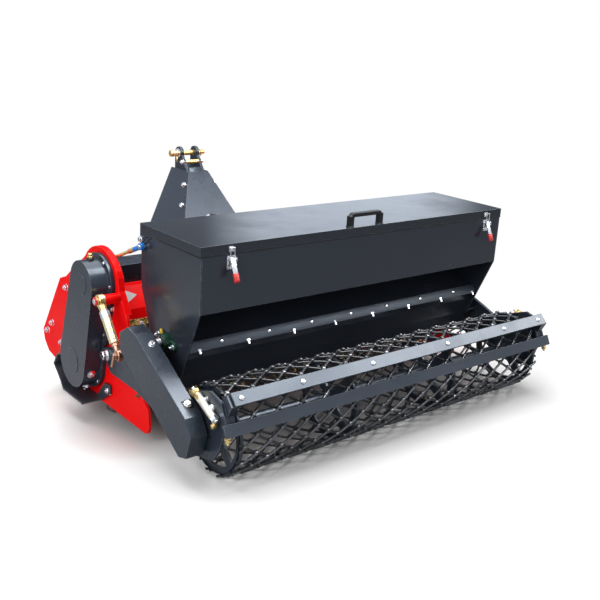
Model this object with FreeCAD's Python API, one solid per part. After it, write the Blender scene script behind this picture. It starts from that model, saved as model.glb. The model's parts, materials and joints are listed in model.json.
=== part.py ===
import FreeCAD, Part
import math
import os

# Stone burier (reverse-tine bed preparer) with a seed hopper and a mesh packer roller.
# The model is laid out with the hopper lid level: +X to the machine's right, +Y in the
# travel direction, towards the tractor, +Z up. Y = 0 is the hopper's rear face and Z = 0 is
# the lowest line of the roller. stand() then tips it onto its tines and roller, as it parks.

# ---- frame and side plates ----
chamber_half = 628.0          # inner faces of the side plates
side_plate_t = 8.0
plate_outer = chamber_half + side_plate_t
beam_side = 56.0              # square main beam
beam_wall = 5.0
beam_y = 460.0
beam_z = 414.0
hood_t = 5.0
rim_width = 12.0
rim_t = 6.0

# ---- rotor ----
rotor_y = 530.0
rotor_z = 132.0
tine_tip_r = 190.0
tine_t = 14.0
tine_width = 46.0
tine_foot_r = 74.0
flange_r = 96.0
flange_t = 8.0
flange_pairs = 4
tines_per_flange = 4
rotor_tube_r = 42.0
rotor_journal_r = 17.5
rotor_end_gap = 12.0

# ---- chain case on the left side plate ----
drive_y = 460.0
drive_z = 394.0
case_upper_r = 69.0
case_lower_r = 82.0
flange_upper_r = 86.0
flange_lower_r = 92.0
case_flange_t = 14.0
case_depth = 53.0
case_wall = 4.0

# ---- hitch ----
lower_link_spread = 683.0
rail_t = 12.0
lower_pin_r = 11.0
lower_pin_y = 1005.0
lower_pin_z = 205.0
lower_pin_free = 90.0
lower_collar_r = 16.0
lower_collar = 8.0
top_pin_r = 9.5
top_pin_y = 1019.0
top_pin_z = 661.0
top_pin_half = 75.0
clevis_inner = 28.0
clevis_t = 10.0
mast_splay = 0.462            # sideways run of each mast leg per unit of height
mast_knee_z = 600.0
hitch_beam_side = 50.0
hitch_beam_y = 925.0
hitch_beam_top = 312.0
pto_z = 414.0
pto_r = 17.5
pto_free = 42.0
pto_seat_r = 22.0
nose_end = 666.0

# ---- roller and its frame ----
roller_y = -89.0
roller_r = 130.0
roller_half = chamber_half - 25.0
roller_wire = 9.0
roller_shaft_r = 17.0
arm_pivot_y = 405.0
arm_pivot_z = 184.0
arm_gap = 5.0
arm_t = 10.0
arm_eye_r = 22.0
arm_spacer_r = 19.0
cover_depth = 51.0
bracket_t = 8.0
upper_bar_half = chamber_half - 4.0
scraper_half = plate_outer + 17.0

# ---- hopper ----
hopper_length = 2 * chamber_half - 66.0
hopper_depth = 307.0
lid_top_z = 597.0
lid_t = 3.0
lid_lip = 26.0
hopper_wall = 4.0
hopper_bend_z = 415.0
hopper_foot_z = 205.0
hinge_y = hopper_depth - 7.0
hinge_z = lid_top_z - 45.0
shaft_y = 155.0
shaft_z = 299.0
handle_x = -16.0
handle_length = 132.0
handle_height = 40.0
latch_xs = (-500.0, 522.0)
catch_xs = (-500.0, 516.0)

# ---- clearances ----
gap = 0.3
comb_rod_r = 5.5
pin_clear = 0.05


def prism(points, x0, x1):
    """A flat outline in the Y-Z plane, carried along X from x0 to x1."""
    ring = [FreeCAD.Vector(x0, y, z) for y, z in points]
    wire = Part.makePolygon(ring + [ring[0]])
    return Part.Face(wire).extrude(FreeCAD.Vector(x1 - x0, 0, 0))


def box(x0, x1, y0, y1, z0, z1):
    return Part.makeBox(x1 - x0, y1 - y0, z1 - z0, FreeCAD.Vector(x0, y0, z0))


def rod_x(y, z, r, x0, x1):
    return Part.makeCylinder(r, x1 - x0, FreeCAD.Vector(x0, y, z), FreeCAD.Vector(1, 0, 0))


def ring_x(y, z, r_in, r_out, x0, x1):
    return rod_x(y, z, r_out, x0, x1).cut(rod_x(y, z, r_in, x0 - 1, x1 + 1))


def rod_between(p, q, r):
    start = FreeCAD.Vector(*p)
    run = FreeCAD.Vector(*q) - start
    return Part.makeCylinder(r, run.Length, start, run)


def mirror(shape):
    return shape.mirror(FreeCAD.Vector(0, 0, 0), FreeCAD.Vector(1, 0, 0))


def hull_obround(y0, z0, r0, y1, z1, r1, x0, x1):
    """Two discs of different radius joined by their outer tangents."""
    dy = y1 - y0
    dz = z1 - z0
    d = math.hypot(dy, dz)
    base = math.atan2(dz, dy)
    spread = math.acos((r0 - r1) / d)
    corners = []
    for cy, cz, r, sign in ((y0, z0, r0, 1), (y1, z1, r1, 1), (y1, z1, r1, -1), (y0, z0, r0, -1)):
        angle = base + sign * spread
        corners.append((cy + r * math.cos(angle), cz + r * math.sin(angle)))
    body = prism(corners, x0, x1)
    body = body.fuse([rod_x(y0, z0, r0, x0, x1), rod_x(y1, z1, r1, x0, x1)])
    return body.removeSplitter()


def strip(path, t, x0, x1):
    """A bent flat strip: the path is its outer face and t its thickness, to the path's left."""
    inner = []
    last = len(path) - 1
    for i, (y, z) in enumerate(path):
        ay, az = path[max(i - 1, 0)]
        by, bz = path[min(i + 1, last)]
        if 0 < i < last:
            u = direction(ay, az, y, z)
            v = direction(y, z, by, bz)
            ny = -(u[1] + v[1])
            nz = u[0] + v[0]
            k = t / (1 + u[0] * v[0] + u[1] * v[1])
        else:
            u = direction(ay, az, by, bz)
            ny = -u[1]
            nz = u[0]
            k = t
        inner.append((y + ny * k, z + nz * k))
    return prism(list(path) + inner[::-1], x0, x1)


def direction(y0, z0, y1, z1):
    d = math.hypot(y1 - y0, z1 - z0)
    return ((y1 - y0) / d, (z1 - z0) / d)


# ---- tiller: plates, hood, beam ----
def side_outline():
    """The red side plate: a round top about the drive axis, a long toe and a rear fin."""
    arc = []
    for step in range(13):
        angle = math.radians(35 + 10 * step)
        arc.append((drive_y + 10 + 120 * math.cos(angle), drive_z - 19 + 120 * math.sin(angle)))
    toe = [(700, 8), (800, 34), (855, 44), (888, 76), (896, 110), (752, 327), (706, 345), (661, 379)]
    fin = [(354, 389), (307, 319), (262, 150), (214, 107), (185, 84), (178, 34), (186, 14), (201, 8)]
    return toe + arc + fin


def side_plate_left():
    plate = prism(side_outline(), -plate_outer, -chamber_half)
    whole = prism(side_outline(), -chamber_half, -chamber_half + rim_width)
    face = Part.Face(Part.makePolygon([FreeCAD.Vector(-chamber_half, y, z)
                                       for y, z in side_outline() + side_outline()[:1]]))
    core = face.makeOffset2D(-rim_t, 2).extrude(FreeCAD.Vector(rim_width, 0, 0))
    reach = box(-plate_outer, 0, 280, 620, 330, 520)
    rim = whole.cut(core).common(reach)
    boss = rod_x(turn_y, turn_z, 15, -boss_end, -plate_outer)
    plate = plate.fuse([rim, boss])
    journal = rod_x(rotor_y, rotor_z, rotor_journal_r + 8, -plate_outer - 1, -chamber_half + rim_width)
    pivot = rod_x(arm_pivot_y, arm_pivot_z, pivot_r, -plate_outer - 1, -chamber_half + rim_width)
    return plate.cut(journal).cut(pivot).removeSplitter()


def hood_path():
    return [(345, 303), (356, 330), (408, 385), (432, 385), (500, 356), (560, 348), (650, 322),
            (742, 262), (866, 104), (868, 64)]


def rotor_hood():
    return strip(hood_path(), -hood_t, -chamber_half, chamber_half)


def main_beam():
    h = beam_side / 2
    outer = box(-chamber_half, chamber_half, beam_y - h, beam_y + h, beam_z - h, beam_z + h)
    k = h - beam_wall
    return outer.cut(box(-chamber_half - 1, chamber_half + 1, beam_y - k, beam_y + k, beam_z - k, beam_z + k))


def comb_bar():
    """Angle bar that clamps the sieve tines behind the rotor."""
    return prism([(325, 287), (343, 287), (343, 303), (339, 303), (339, 291), (325, 291)],
                 -chamber_half, chamber_half)


def comb():
    """The sieve behind the rotor: a row of rods clamped in the angle bar."""
    bar = comb_bar()
    tines = [bar]
    count = 28
    pitch = 42.0
    for i in range(count):
        x = (i - (count - 1) / 2) * pitch
        tines.append(rod_between((x, 329.5, 287), (x, 232, 62), comb_rod_r).cut(bar))
    return Part.makeCompound(tines)


# ---- chain case, skids, gearbox ----
def chain_case():
    back = -plate_outer - case_flange_t
    face = back - case_depth
    rim = hull_obround(drive_y, drive_z, flange_upper_r, rotor_y, rotor_z, flange_lower_r,
                       back, -plate_outer)
    body = hull_obround(drive_y, drive_z, case_upper_r, rotor_y, rotor_z, case_lower_r, face, back)
    inside = hull_obround(drive_y, drive_z, case_upper_r - case_wall, rotor_y, rotor_z,
                          case_lower_r - case_wall, face + case_wall, -plate_outer + 1)
    upper_disc = rod_x(drive_y, drive_z, 33, face - 2, face)
    lower_disc = rod_x(rotor_y, rotor_z, 40, face - 2, face)
    scallop = rod_x(arm_pivot_y, arm_pivot_z, arm_eye_r + 6, back, -plate_outer)
    return body.fuse([rim.cut(scallop), upper_disc, lower_disc]).cut(inside).removeSplitter()


def skid(outer, inner):
    """Bent wear plate that runs on the ground beside the side plate."""
    shoe = strip([(632, 122), (660, 80), (615, 42), (594, 14), (458, 14)], -6, outer, inner)
    lug = prism([(458, 14), (488, 14), (488, 20), (436, 80), (402, 84), (398, 58)], inner - 8, inner)
    return shoe.fuse(lug).removeSplitter()


def skid_left():
    return skid(-plate_outer - 70, -plate_outer)


def gearbox():
    body = box(-85, 85, beam_y + beam_side / 2, 640, 362, 470)
    nose = Part.makeCylinder(45, nose_end - 640, FreeCAD.Vector(0, 640, pto_z), FreeCAD.Vector(0, 1, 0))
    bore = Part.makeCylinder(pto_seat_r + pin_clear, 60, FreeCAD.Vector(0, 607, pto_z), FreeCAD.Vector(0, 1, 0))
    return body.fuse(nose).cut(bore).removeSplitter()


def pto_guard():
    """Plastic cup round the input shaft."""
    cup = Part.makeCylinder(66, 84, FreeCAD.Vector(0, 640, pto_z), FreeCAD.Vector(0, 1, 0))
    room = Part.makeCylinder(62, 84, FreeCAD.Vector(0, 644, pto_z), FreeCAD.Vector(0, 1, 0))
    neck = Part.makeCylinder(45, 20, FreeCAD.Vector(0, 635, pto_z), FreeCAD.Vector(0, 1, 0))
    return cup.cut(room).cut(neck)


def pto_shaft():
    seat = Part.makeCylinder(pto_seat_r, nose_end - 610, FreeCAD.Vector(0, 610, pto_z), FreeCAD.Vector(0, 1, 0))
    free = Part.makeCylinder(pto_r, pto_free, FreeCAD.Vector(0, nose_end, pto_z), FreeCAD.Vector(0, 1, 0))
    return seat.fuse(free)


def rotor_bearing_right():
    hub = ring_x(rotor_y, rotor_z, rotor_journal_r + pin_clear, 42, plate_outer, plate_outer + 34)
    return hub.fuse(ring_x(rotor_y, rotor_z, rotor_journal_r + pin_clear, 66, plate_outer, plate_outer + 9))


# ---- hitch ----
def rail(x0, x1):
    back = beam_y + beam_side / 2
    outline = [(back, beam_z - 26), (500, 356), (560, 348), (650, 322), (742, 262), (790, 201),
               (960, 168), (1020, 172), (1040, 205), (1026, 262), (905, 372), (700, 436), (back, beam_z + 26)]
    plate = prism(outline, x0, x1)
    return plate.cut(rod_x(lower_pin_y, lower_pin_z, lower_collar_r, x0 - 1, x1 + 1))


def rail_left():
    return rail(-lower_link_spread / 2, -lower_link_spread / 2 + rail_t)


def lower_pin_left():
    """Lower link stud: a collar sits in the rail and the pin stands out past it."""
    end = lower_link_spread / 2 + lower_collar
    collar = rod_x(lower_pin_y, lower_pin_z, lower_collar_r, -end, -end + lower_collar + rail_t + 8)
    return collar.fuse(rod_x(lower_pin_y, lower_pin_z, lower_pin_r, -end - lower_pin_free, -end))


def hitch_beam():
    half = lower_link_spread / 2 - rail_t
    h = hitch_beam_side / 2
    return box(-half, half, hitch_beam_y - h, hitch_beam_y + h, hitch_beam_top - 2 * h, hitch_beam_top)


def mast_leg_left():
    """Clevis plate at the top, splayed leg below, down to the hitch beam."""
    x0 = -clevis_inner - clevis_t
    x1 = -clevis_inner
    top = prism([(957, mast_knee_z), (1043, mast_knee_z), (1043, top_pin_z), (1000, top_pin_z)], x0, x1)
    eye = rod_x(top_pin_y, top_pin_z, 24, x0, x1)
    out = mast_splay * (mast_knee_z - hitch_beam_top)
    upper = [(x0, 957), (x1, 957), (x1, 1043), (x0, 1043)]
    lower = [(x0 - out, 900), (x1 - out, 900), (x1 - out, 950), (x0 - out, 950)]
    rings = []
    for corners, z in ((upper, mast_knee_z), (lower, hitch_beam_top)):
        ring = [FreeCAD.Vector(x, y, z) for x, y in corners]
        rings.append(Part.makePolygon(ring + [ring[0]]))
    leg = Part.makeLoft(rings, True, True)
    plate = top.fuse([eye, leg])
    plate = plate.cut(rod_x(top_pin_y, top_pin_z, top_pin_r, x0 - 1, x1 + 1))
    return plate.cut(rod_x(987, 632, 6, x0 - 1, x1 + 1)).removeSplitter()


def mast_cover():
    """Folded sheet cover over the mast, open to the front and below."""
    t = 3.0
    shaft_notch_r = 46.0
    top_z = mast_knee_z + 3
    low_z = 398.0
    run = mast_splay * (top_z - low_z)
    half = clevis_inner + clevis_t + gap + 0.5
    def frustum(shrink, front):
        rings = []
        for w, y0, y1, z in ((half + t, 940, 1062, top_z), (half + t + run, 814, 1054, low_z)):
            w = w - shrink
            y0 = y0 + shrink
            y1 = y1 + front
            ring = [FreeCAD.Vector(x, y, z) for x, y in ((-w, y0), (w, y0), (w, y1), (-w, y1))]
            rings.append(Part.makePolygon(ring + [ring[0]]))
        return Part.makeLoft(rings, True, True)
    notch = Part.makeCylinder(shaft_notch_r, 300, FreeCAD.Vector(0, 780, pto_z), FreeCAD.Vector(0, 1, 0))
    return frustum(0, 0).cut(frustum(t, 5)).cut(notch)


def top_link_pin():
    return rod_x(top_pin_y, top_pin_z, top_pin_r, -top_pin_half, top_pin_half)


def mast_bolt():
    return rod_x(987, 632, 6, -52, 52)


# ---- turnbuckles between the side plates and the roller arms ----
turn_y = 354.0
turn_z = 372.0
turn_low_y = 247.0
turn_low_z = 242.0
turn_x = plate_outer + 58
boss_end = plate_outer + 47
pivot_r = 12.0
turn_pin_r = 8.0
sleeve_r = 11.0
turn_rod_r = 7.0
sleeve_end = 52.0


def turn_point(along):
    """A point on the turnbuckle's line, measured from its upper eye."""
    u = direction(turn_y, turn_z, turn_low_y, turn_low_z)
    return (-turn_x, turn_y + u[0] * along, turn_z + u[1] * along)


def turn_length():
    return math.hypot(turn_y - turn_low_y, turn_z - turn_low_z)


def turn_upper_pin():
    return rod_x(turn_y, turn_z, turn_pin_r, -turn_x - 20, -boss_end)


def turn_sleeve():
    eye = ring_x(turn_y, turn_z, turn_pin_r + pin_clear, 18, -turn_x - 9, -turn_x + 9)
    tube = rod_between(turn_point(16), turn_point(turn_length() - sleeve_end), sleeve_r)
    bore = rod_between(turn_point(40), turn_point(turn_length()), turn_rod_r + pin_clear)
    room = rod_x(turn_y, turn_z, turn_pin_r + pin_clear, -turn_x - 20, -turn_x + 20)
    return eye.fuse(tube).cut(bore).cut(room).removeSplitter()


def turn_rod():
    eye = ring_x(turn_low_y, turn_low_z, turn_pin_r + 1.2, 16, -turn_x - 8, -turn_x + 8)
    rod = rod_between(turn_point(64), turn_point(turn_length() - 14), turn_rod_r)
    room = rod_x(turn_low_y, turn_low_z, turn_pin_r + 1.2, -turn_x - 20, -turn_x + 20)
    return eye.fuse(rod).cut(room).removeSplitter()


def turn_lower_pin():
    return rod_x(turn_low_y, turn_low_z, turn_pin_r, -turn_x - 14, -plate_outer - arm_gap - arm_t)


# ---- rotor ----
def flange_places():
    """Flange positions from the outside in, as (x, first tine angle in degrees)."""
    span = 2 * (chamber_half - rotor_end_gap - 24)
    pitch = span / (2 * flange_pairs - 1)
    step = 360.0 / tines_per_flange / flange_pairs
    places = []
    for i in range(flange_pairs):
        angle = (i - 0.5) * step
        x = span / 2 - i * pitch
        places.append((-x, angle))
        places.append((x, angle))
    return places


def rotor_shaft():
    half = chamber_half - rotor_end_gap
    tube = rod_x(rotor_y, rotor_z, rotor_tube_r, -half, half)
    journal = rod_x(rotor_y, rotor_z, rotor_journal_r, -plate_outer - 40, plate_outer + 28)
    return tube.fuse(journal).removeSplitter()


def rotor_flanges():
    rings = []
    for x, angle in flange_places():
        rings.append(ring_x(rotor_y, rotor_z, rotor_tube_r, flange_r, x - flange_t / 2, x + flange_t / 2))
    return Part.makeCompound(rings)


def rotor_tines():
    """Flat tines bolted to the flanges, their tips on one circle."""
    tines = []
    for x, first in flange_places():
        side = flange_t / 2 if x < 0 else -flange_t / 2 - tine_t
        for k in range(tines_per_flange):
            blade = box(x + side, x + side + tine_t, rotor_y - tine_width / 2, rotor_y + tine_width / 2,
                        rotor_z - tine_tip_r - 5, rotor_z - tine_foot_r)
            blade = blade.common(rod_x(rotor_y, rotor_z, tine_tip_r, -2000, 2000))
            turn = first + k * 360.0 / tines_per_flange + stand_angle()
            blade.rotate(FreeCAD.Vector(0, rotor_y, rotor_z), FreeCAD.Vector(1, 0, 0), turn)
            tines.append(blade)
    return Part.makeCompound(tines)


# ---- roller ----
def roller_z():
    return roller_r


def roller_cage():
    return ring_x(roller_y, roller_z(), roller_r - roller_wire, roller_r, -roller_half, roller_half)


def roller_discs():
    discs = []
    for x in (-roller_half + 10, -roller_half / 3, roller_half / 3, roller_half - 10):
        rim = ring_x(roller_y, roller_z(), roller_r - roller_wire - 22, roller_r - roller_wire, x - 4, x + 4)
        hub = ring_x(roller_y, roller_z(), roller_shaft_r, 32, x - 4, x + 4)
        spokes = []
        for k in range(4):
            bar = box(x - 4, x + 4, roller_y - 14, roller_y + 14, roller_z() + 30, roller_z() + 102)
            bar.rotate(FreeCAD.Vector(0, roller_y, roller_z()), FreeCAD.Vector(1, 0, 0), 45 + 90 * k)
            spokes.append(bar)
        discs.append(rim.fuse([hub] + spokes).removeSplitter())
    return Part.makeCompound(discs)


def roller_shaft():
    return rod_x(roller_y, roller_z(), roller_shaft_r, -plate_outer - arm_gap - arm_t - 20,
                 plate_outer + arm_gap + arm_t + 12)


# ---- roller frame ----
def arm_left():
    """Roller arm: pivot eye at the front, a lug for the turnbuckle, bearing seat at the rear."""
    x1 = -plate_outer - arm_gap
    x0 = x1 - arm_t
    outline = [(arm_pivot_y, arm_pivot_z - arm_eye_r), (arm_pivot_y, arm_pivot_z + arm_eye_r), (348, 228),
               (290, 254), (240, 264), (150, 262), (60, 230), (-40, 190), (-60, 90), (20, 96),
               (232, 132), (383, 134)]
    plate = prism(outline, x0, x1).fuse(rod_x(arm_pivot_y, arm_pivot_z, arm_eye_r, x0, x1))
    plate = plate.cut(rod_x(arm_pivot_y, arm_pivot_z, pivot_r + pin_clear, x0 - 1, x1 + 1))
    plate = plate.cut(rod_x(turn_low_y, turn_low_z, turn_pin_r, x0 - 1, x1 + 1))
    return plate.cut(rod_x(roller_y, roller_z(), 40, x0 - 1, x1 + 1)).removeSplitter()


def arm_pivot_pin():
    return rod_x(arm_pivot_y, arm_pivot_z, pivot_r, -plate_outer - arm_gap - arm_t - 16, -chamber_half + 12)


def arm_spacer():
    return ring_x(arm_pivot_y, arm_pivot_z, pivot_r, arm_spacer_r, -plate_outer - arm_gap + gap, -plate_outer)


def end_bracket_left():
    """Rear bracket: carries the roller bearing and the two bars."""
    x0 = -plate_outer - arm_gap
    x1 = x0 + bracket_t
    outline = [(40, 110), (40, 196), (-60, 238), (-83, 247), (-128, 264), (-180, 250), (-204, 201),
               (-204, 195), (-176, 116), (-151, 80), (-100, 66), (-20, 80)]
    plate = prism(outline, x0, x1)
    flange = prism([(-180, 250), (-200, 200), (-192, 197), (-172, 247)], x1, x1 + 24)
    seat = prism([(-166, 250), (-190, 272), (-214, 248), (-198, 218), (-174, 236)], x1, x1 + 24)
    plate = plate.fuse([flange, seat])
    return plate.cut(rod_x(roller_y, roller_z(), roller_shaft_r + pin_clear, x0 - 1, x1 + 1)).removeSplitter()


def roller_bearing_left():
    x1 = -plate_outer - arm_gap
    return ring_x(roller_y, roller_z(), roller_shaft_r + pin_clear, 36, x1 - 16, x1)


def upper_bar():
    """Angle bar across the frame, its flat face tipped up to the rear."""
    outer = [(-194, 279), (-219, 253), (-214, 248), (-190, 272), (-166, 250), (-161, 255)]
    return prism(outer, -upper_bar_half, upper_bar_half)


def scraper_bar():
    outer = [(-211, 204), (-225, 175), (-220, 172), (-208, 197), (-204, 195), (-204, 201)]
    return prism(outer, -scraper_half, scraper_half)


def scraper_adjuster_left():
    """Threaded adjuster in a tube, from the bracket's top to the scraper bar's end."""
    x = -plate_outer - arm_gap - 8 - gap
    return rod_between((x, -72, 247), (x, -178, 199), 8)


def cover_outline():
    return [(225, 268), (228, 318), (183, 347), (144, 339), (-111, 195), (-140, 152), (-120, 88), (-86, 79)]


def drive_cover():
    """Box over the seed drive chain, from the roller to the metering shaft."""
    t = 3.0
    x1 = -plate_outer - arm_gap - arm_t
    x0 = x1 - cover_depth
    shell = prism(cover_outline(), x0, x1)
    face = Part.Face(Part.makePolygon([FreeCAD.Vector(x0 + t, y, z)
                                       for y, z in cover_outline() + cover_outline()[:1]]))
    core = face.makeOffset2D(-t, 2).extrude(FreeCAD.Vector(cover_depth + 1, 0, 0))
    return shell.cut(core)


# ---- hopper ----
def end_outline():
    top = lid_top_z - lid_lip - 2
    front = hopper_depth - 2
    return [(0, top), (0, hopper_bend_z), (90, hopper_foot_z), (218, hopper_foot_z), (front - 2, 416),
            (front, top)]


def hopper_end_left():
    half = hopper_length / 2 - lid_t
    plate = prism(end_outline(), -half, -half + hopper_wall)
    plate = plate.cut(rod_x(shaft_y, shaft_z, 14, -half - 1, -half + 10))
    return plate.cut(rod_x(hinge_y, hinge_z, 5, -half - 1, -half + 10))


def inner_half():
    return hopper_length / 2 - lid_t - hopper_wall


def hopper_rear_wall():
    top = lid_top_z - lid_lip - 2
    t = 3.0
    path = [(0, top), (0, hopper_bend_z), (160, 358), (160, 351), (81, 304), (81, 262), (99, 206), (104, 168)]
    return strip(path, t, -inner_half(), inner_half())


def hopper_front_wall():
    top = lid_top_z - lid_lip - 2
    t = 3.0
    front = hopper_depth - 2
    path = [(front, top), (front, 416), (238, 255), (238, 240)]
    return strip(path, -t, -inner_half(), inner_half())


def metering_floor():
    return box(-inner_half(), inner_half(), 93, 235, 236, 240)


def metering_strip():
    return box(-inner_half(), inner_half(), 76, 81, 283, 308)


def metering_shaft():
    half = hopper_length / 2
    return rod_x(shaft_y, shaft_z, 10, -plate_outer - arm_gap - arm_t - 20, half + 26)


def metering_bearing_left():
    half = hopper_length / 2 - lid_t
    hub = ring_x(shaft_y, shaft_z, 10 + pin_clear, 22, -half - 24, -half)
    base = hull_obround(shaft_y - 38, shaft_z - 8, 11, shaft_y + 38, shaft_z + 8, 11, -half - 8, -half)
    return hub.fuse(base).cut(rod_x(shaft_y, shaft_z, 10 + pin_clear, -half - 30, -half + 5)).removeSplitter()


def hopper_foot_left():
    half = hopper_length / 2 - lid_t
    plate = box(-plate_outer - arm_gap, -half, 96, 212, hopper_foot_z, hopper_foot_z + 6)
    return plate


def lid():
    half = hopper_length / 2
    outer = box(-half, half, 0, hopper_depth, lid_top_z - lid_lip, lid_top_z)
    tray = outer.cut(box(-half + lid_t - gap, half - lid_t + gap, lid_t - gap, hopper_depth - lid_t + gap,
                         lid_top_z - lid_lip - 1, lid_top_z - lid_t))
    lugs = []
    for x0 in (-half, half - lid_t + gap):
        outline = [(hinge_y - 60, lid_top_z - lid_lip), (hinge_y - 14, hinge_z - 12), (hinge_y, hinge_z - 16),
                   (hopper_depth, hinge_z - 7), (hopper_depth, lid_top_z - lid_lip)]
        lug = prism(outline, x0, x0 + lid_t - gap)
        lugs.append(lug.cut(rod_x(hinge_y, hinge_z, 5 + pin_clear, x0 - 5, x0 + 10)))
    return tray.fuse(lugs).removeSplitter()


def hinge_pin_left():
    half = hopper_length / 2
    return rod_x(hinge_y, hinge_z, 5, -half - 0.5, -half + lid_t + hopper_wall)


def lid_handle():
    """Moulded bridge handle, a little left of the lid's middle."""
    half = handle_length / 2
    parts = []
    for sign in (-1, 1):
        leg = handle_x + sign * (half - 8)
        parts.append(box(leg - 11, leg + 11, 4, 26, lid_top_z, lid_top_z + 5))
        parts.append(box(leg - 7, leg + 7, 7, 23, lid_top_z, lid_top_z + handle_height))
    grip = box(handle_x - half + 1, handle_x + half - 1, 7, 23, lid_top_z + handle_height - 12,
               lid_top_z + handle_height)
    return grip.fuse(parts).removeSplitter()


def latch(x):
    """Toggle latch on the rear wall: base plate and lever, lid catch above."""
    axle_z = lid_top_z - 41
    base = box(x - 14, x + 14, -3, 0, axle_z - 28, axle_z + 10)
    ears = box(x - 10, x + 10, -14, 0, axle_z - 12, axle_z + 6)
    lever = box(x - 7, x + 7, -12, -4, axle_z - 62, axle_z + 4)
    lever.rotate(FreeCAD.Vector(x, -8, axle_z), FreeCAD.Vector(1, 0, 0), -24)
    return base.fuse([ears, lever]).removeSplitter()


def latch_catch(x):
    return box(x - 8, x + 8, -6, 0, lid_top_z - 21, lid_top_z - 7)


# ---- stays from the hopper's front wall to the main beam ----
stay_x = chamber_half - 21.0
stay_top_y = hinge_y - 22.0
stay_top_z = hinge_z - 15.0
stay_low_y = 452.0
stay_low_z = 461.0
stay_pin_r = 5.0
stay_rod_r = 5.0


def stay_point(along):
    u = direction(stay_top_y, stay_top_z, stay_low_y, stay_low_z)
    return (-stay_x, stay_top_y + u[0] * along, stay_top_z + u[1] * along)


def stay_length():
    return math.hypot(stay_low_y - stay_top_y, stay_low_z - stay_top_z)


def stay_sleeve():
    eye = ring_x(stay_top_y, stay_top_z, stay_pin_r + pin_clear, 10, -stay_x - 5, -stay_x + 5)
    tube = rod_between(stay_point(7), stay_point(74), 7)
    bore = rod_between(stay_point(13), stay_point(90), stay_rod_r + pin_clear)
    room = rod_x(stay_top_y, stay_top_z, stay_pin_r + pin_clear, -stay_x - 12, -stay_x + 12)
    return eye.fuse(tube).cut(bore).cut(room).removeSplitter()


def stay_rod():
    rod = rod_between(stay_point(52), stay_point(stay_length() - 11), stay_rod_r)
    eye = ring_x(stay_low_y, stay_low_z, stay_pin_r + 3.5, 13, -stay_x - 5, -stay_x + 5)
    room = rod_x(stay_low_y, stay_low_z, stay_pin_r + 3.5, -stay_x - 9, -stay_x + 9)
    return eye.fuse(rod).cut(room).removeSplitter()


def stay_upper_pin():
    return rod_x(stay_top_y, stay_top_z, stay_pin_r, -stay_x - 9, -hopper_length / 2 + lid_t)


def stay_lower_lug():
    top = beam_z + beam_side / 2
    pin = rod_x(stay_low_y, stay_low_z, stay_pin_r, -stay_x - 20, -stay_x + 20)
    ears = []
    for x0 in (-stay_x - 11, -stay_x + 7):
        ears.append(box(x0, x0 + 4, stay_low_y - 9, stay_low_y + 9, top, stay_low_z + 9).cut(pin))
    return Part.makeCompound(ears)


def stay_lower_pin():
    return rod_x(stay_low_y, stay_low_z, stay_pin_r, -stay_x - 12, -stay_x + 12)


# ---- how it stands ----
def stand_angle():
    """Nose-up angle, in degrees, when it rests on the two lowest tine rows and the roller."""
    step = 360.0 / tines_per_flange / flange_pairs
    blade = math.degrees(math.asin(tine_width / 2 / tine_tip_r))
    height = tine_tip_r * math.cos(math.radians(step / 2 - blade))
    dy = rotor_y - roller_y
    dz = rotor_z - roller_z()
    return math.degrees(math.asin((height - roller_r) / math.hypot(dy, dz)) - math.atan2(dz, dy))


def both(*lefts):
    """Left-hand pieces and their mirror images as one node."""
    return Part.makeCompound(list(lefts) + [mirror(piece) for piece in lefts])


def pair(name, left):
    return {name + "_left": left, name + "_right": mirror(left)}


def build():
    """Every sub-part by node name, in the level frame."""
    nodes = {}
    nodes["side_plates"] = both(side_plate_left())
    nodes["rotor_hood"] = rotor_hood()
    nodes["main_beam"] = main_beam()
    nodes["comb"] = comb()
    nodes["chain_case"] = chain_case()
    nodes["skids"] = both(skid_left())
    nodes["gearbox"] = gearbox()
    nodes["pto_guard"] = pto_guard()
    nodes["rotor_bearing"] = rotor_bearing_right()
    nodes["hitch_rails"] = both(rail_left())
    nodes["hitch_beam"] = hitch_beam()
    nodes["mast_legs"] = both(mast_leg_left())
    nodes["mast_cover"] = mast_cover()
    nodes["hitch_pins"] = Part.makeCompound([both(lower_pin_left()), top_link_pin(), mast_bolt()])
    nodes["frame_pins"] = both(turn_upper_pin(), arm_pivot_pin(), arm_spacer(), stay_lower_lug())
    nodes["stay_pins"] = both(stay_lower_pin())
    nodes["rotor_shaft"] = rotor_shaft()
    nodes["rotor_flanges"] = rotor_flanges()
    nodes["rotor_tines"] = rotor_tines()
    nodes["pto_shaft"] = pto_shaft()
    nodes["roller_cage"] = roller_cage()
    nodes["roller_discs"] = roller_discs()
    nodes["roller_shaft"] = roller_shaft()
    nodes["roller_arms"] = both(arm_left())
    nodes["end_brackets"] = both(end_bracket_left())
    nodes["upper_bar"] = upper_bar()
    nodes["scraper_bar"] = scraper_bar()
    nodes["scraper_adjusters"] = both(scraper_adjuster_left())
    nodes["drive_cover"] = drive_cover()
    nodes["link_pins"] = both(turn_lower_pin(), hinge_pin_left(), stay_upper_pin())
    nodes.update(pair("turnbuckle_sleeve", turn_sleeve()))
    nodes.update(pair("turnbuckle_rod", turn_rod()))
    nodes["hopper_ends"] = both(hopper_end_left(), hopper_foot_left())
    nodes["hopper_rear_wall"] = hopper_rear_wall()
    nodes["hopper_front_wall"] = hopper_front_wall()
    nodes["metering_floor"] = metering_floor()
    nodes["metering_strip"] = metering_strip()
    nodes["metering_shaft"] = metering_shaft()
    nodes["flange_bearings"] = both(metering_bearing_left(), roller_bearing_left())
    nodes["lid"] = lid()
    nodes["lid_handle"] = lid_handle()
    nodes["latches"] = Part.makeCompound([latch(x) for x in latch_xs])
    nodes["latch_catches"] = Part.makeCompound([latch_catch(x) for x in catch_xs])
    nodes.update(pair("stay_sleeve", stay_sleeve()))
    nodes.update(pair("stay_rod", stay_rod()))
    return nodes


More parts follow.
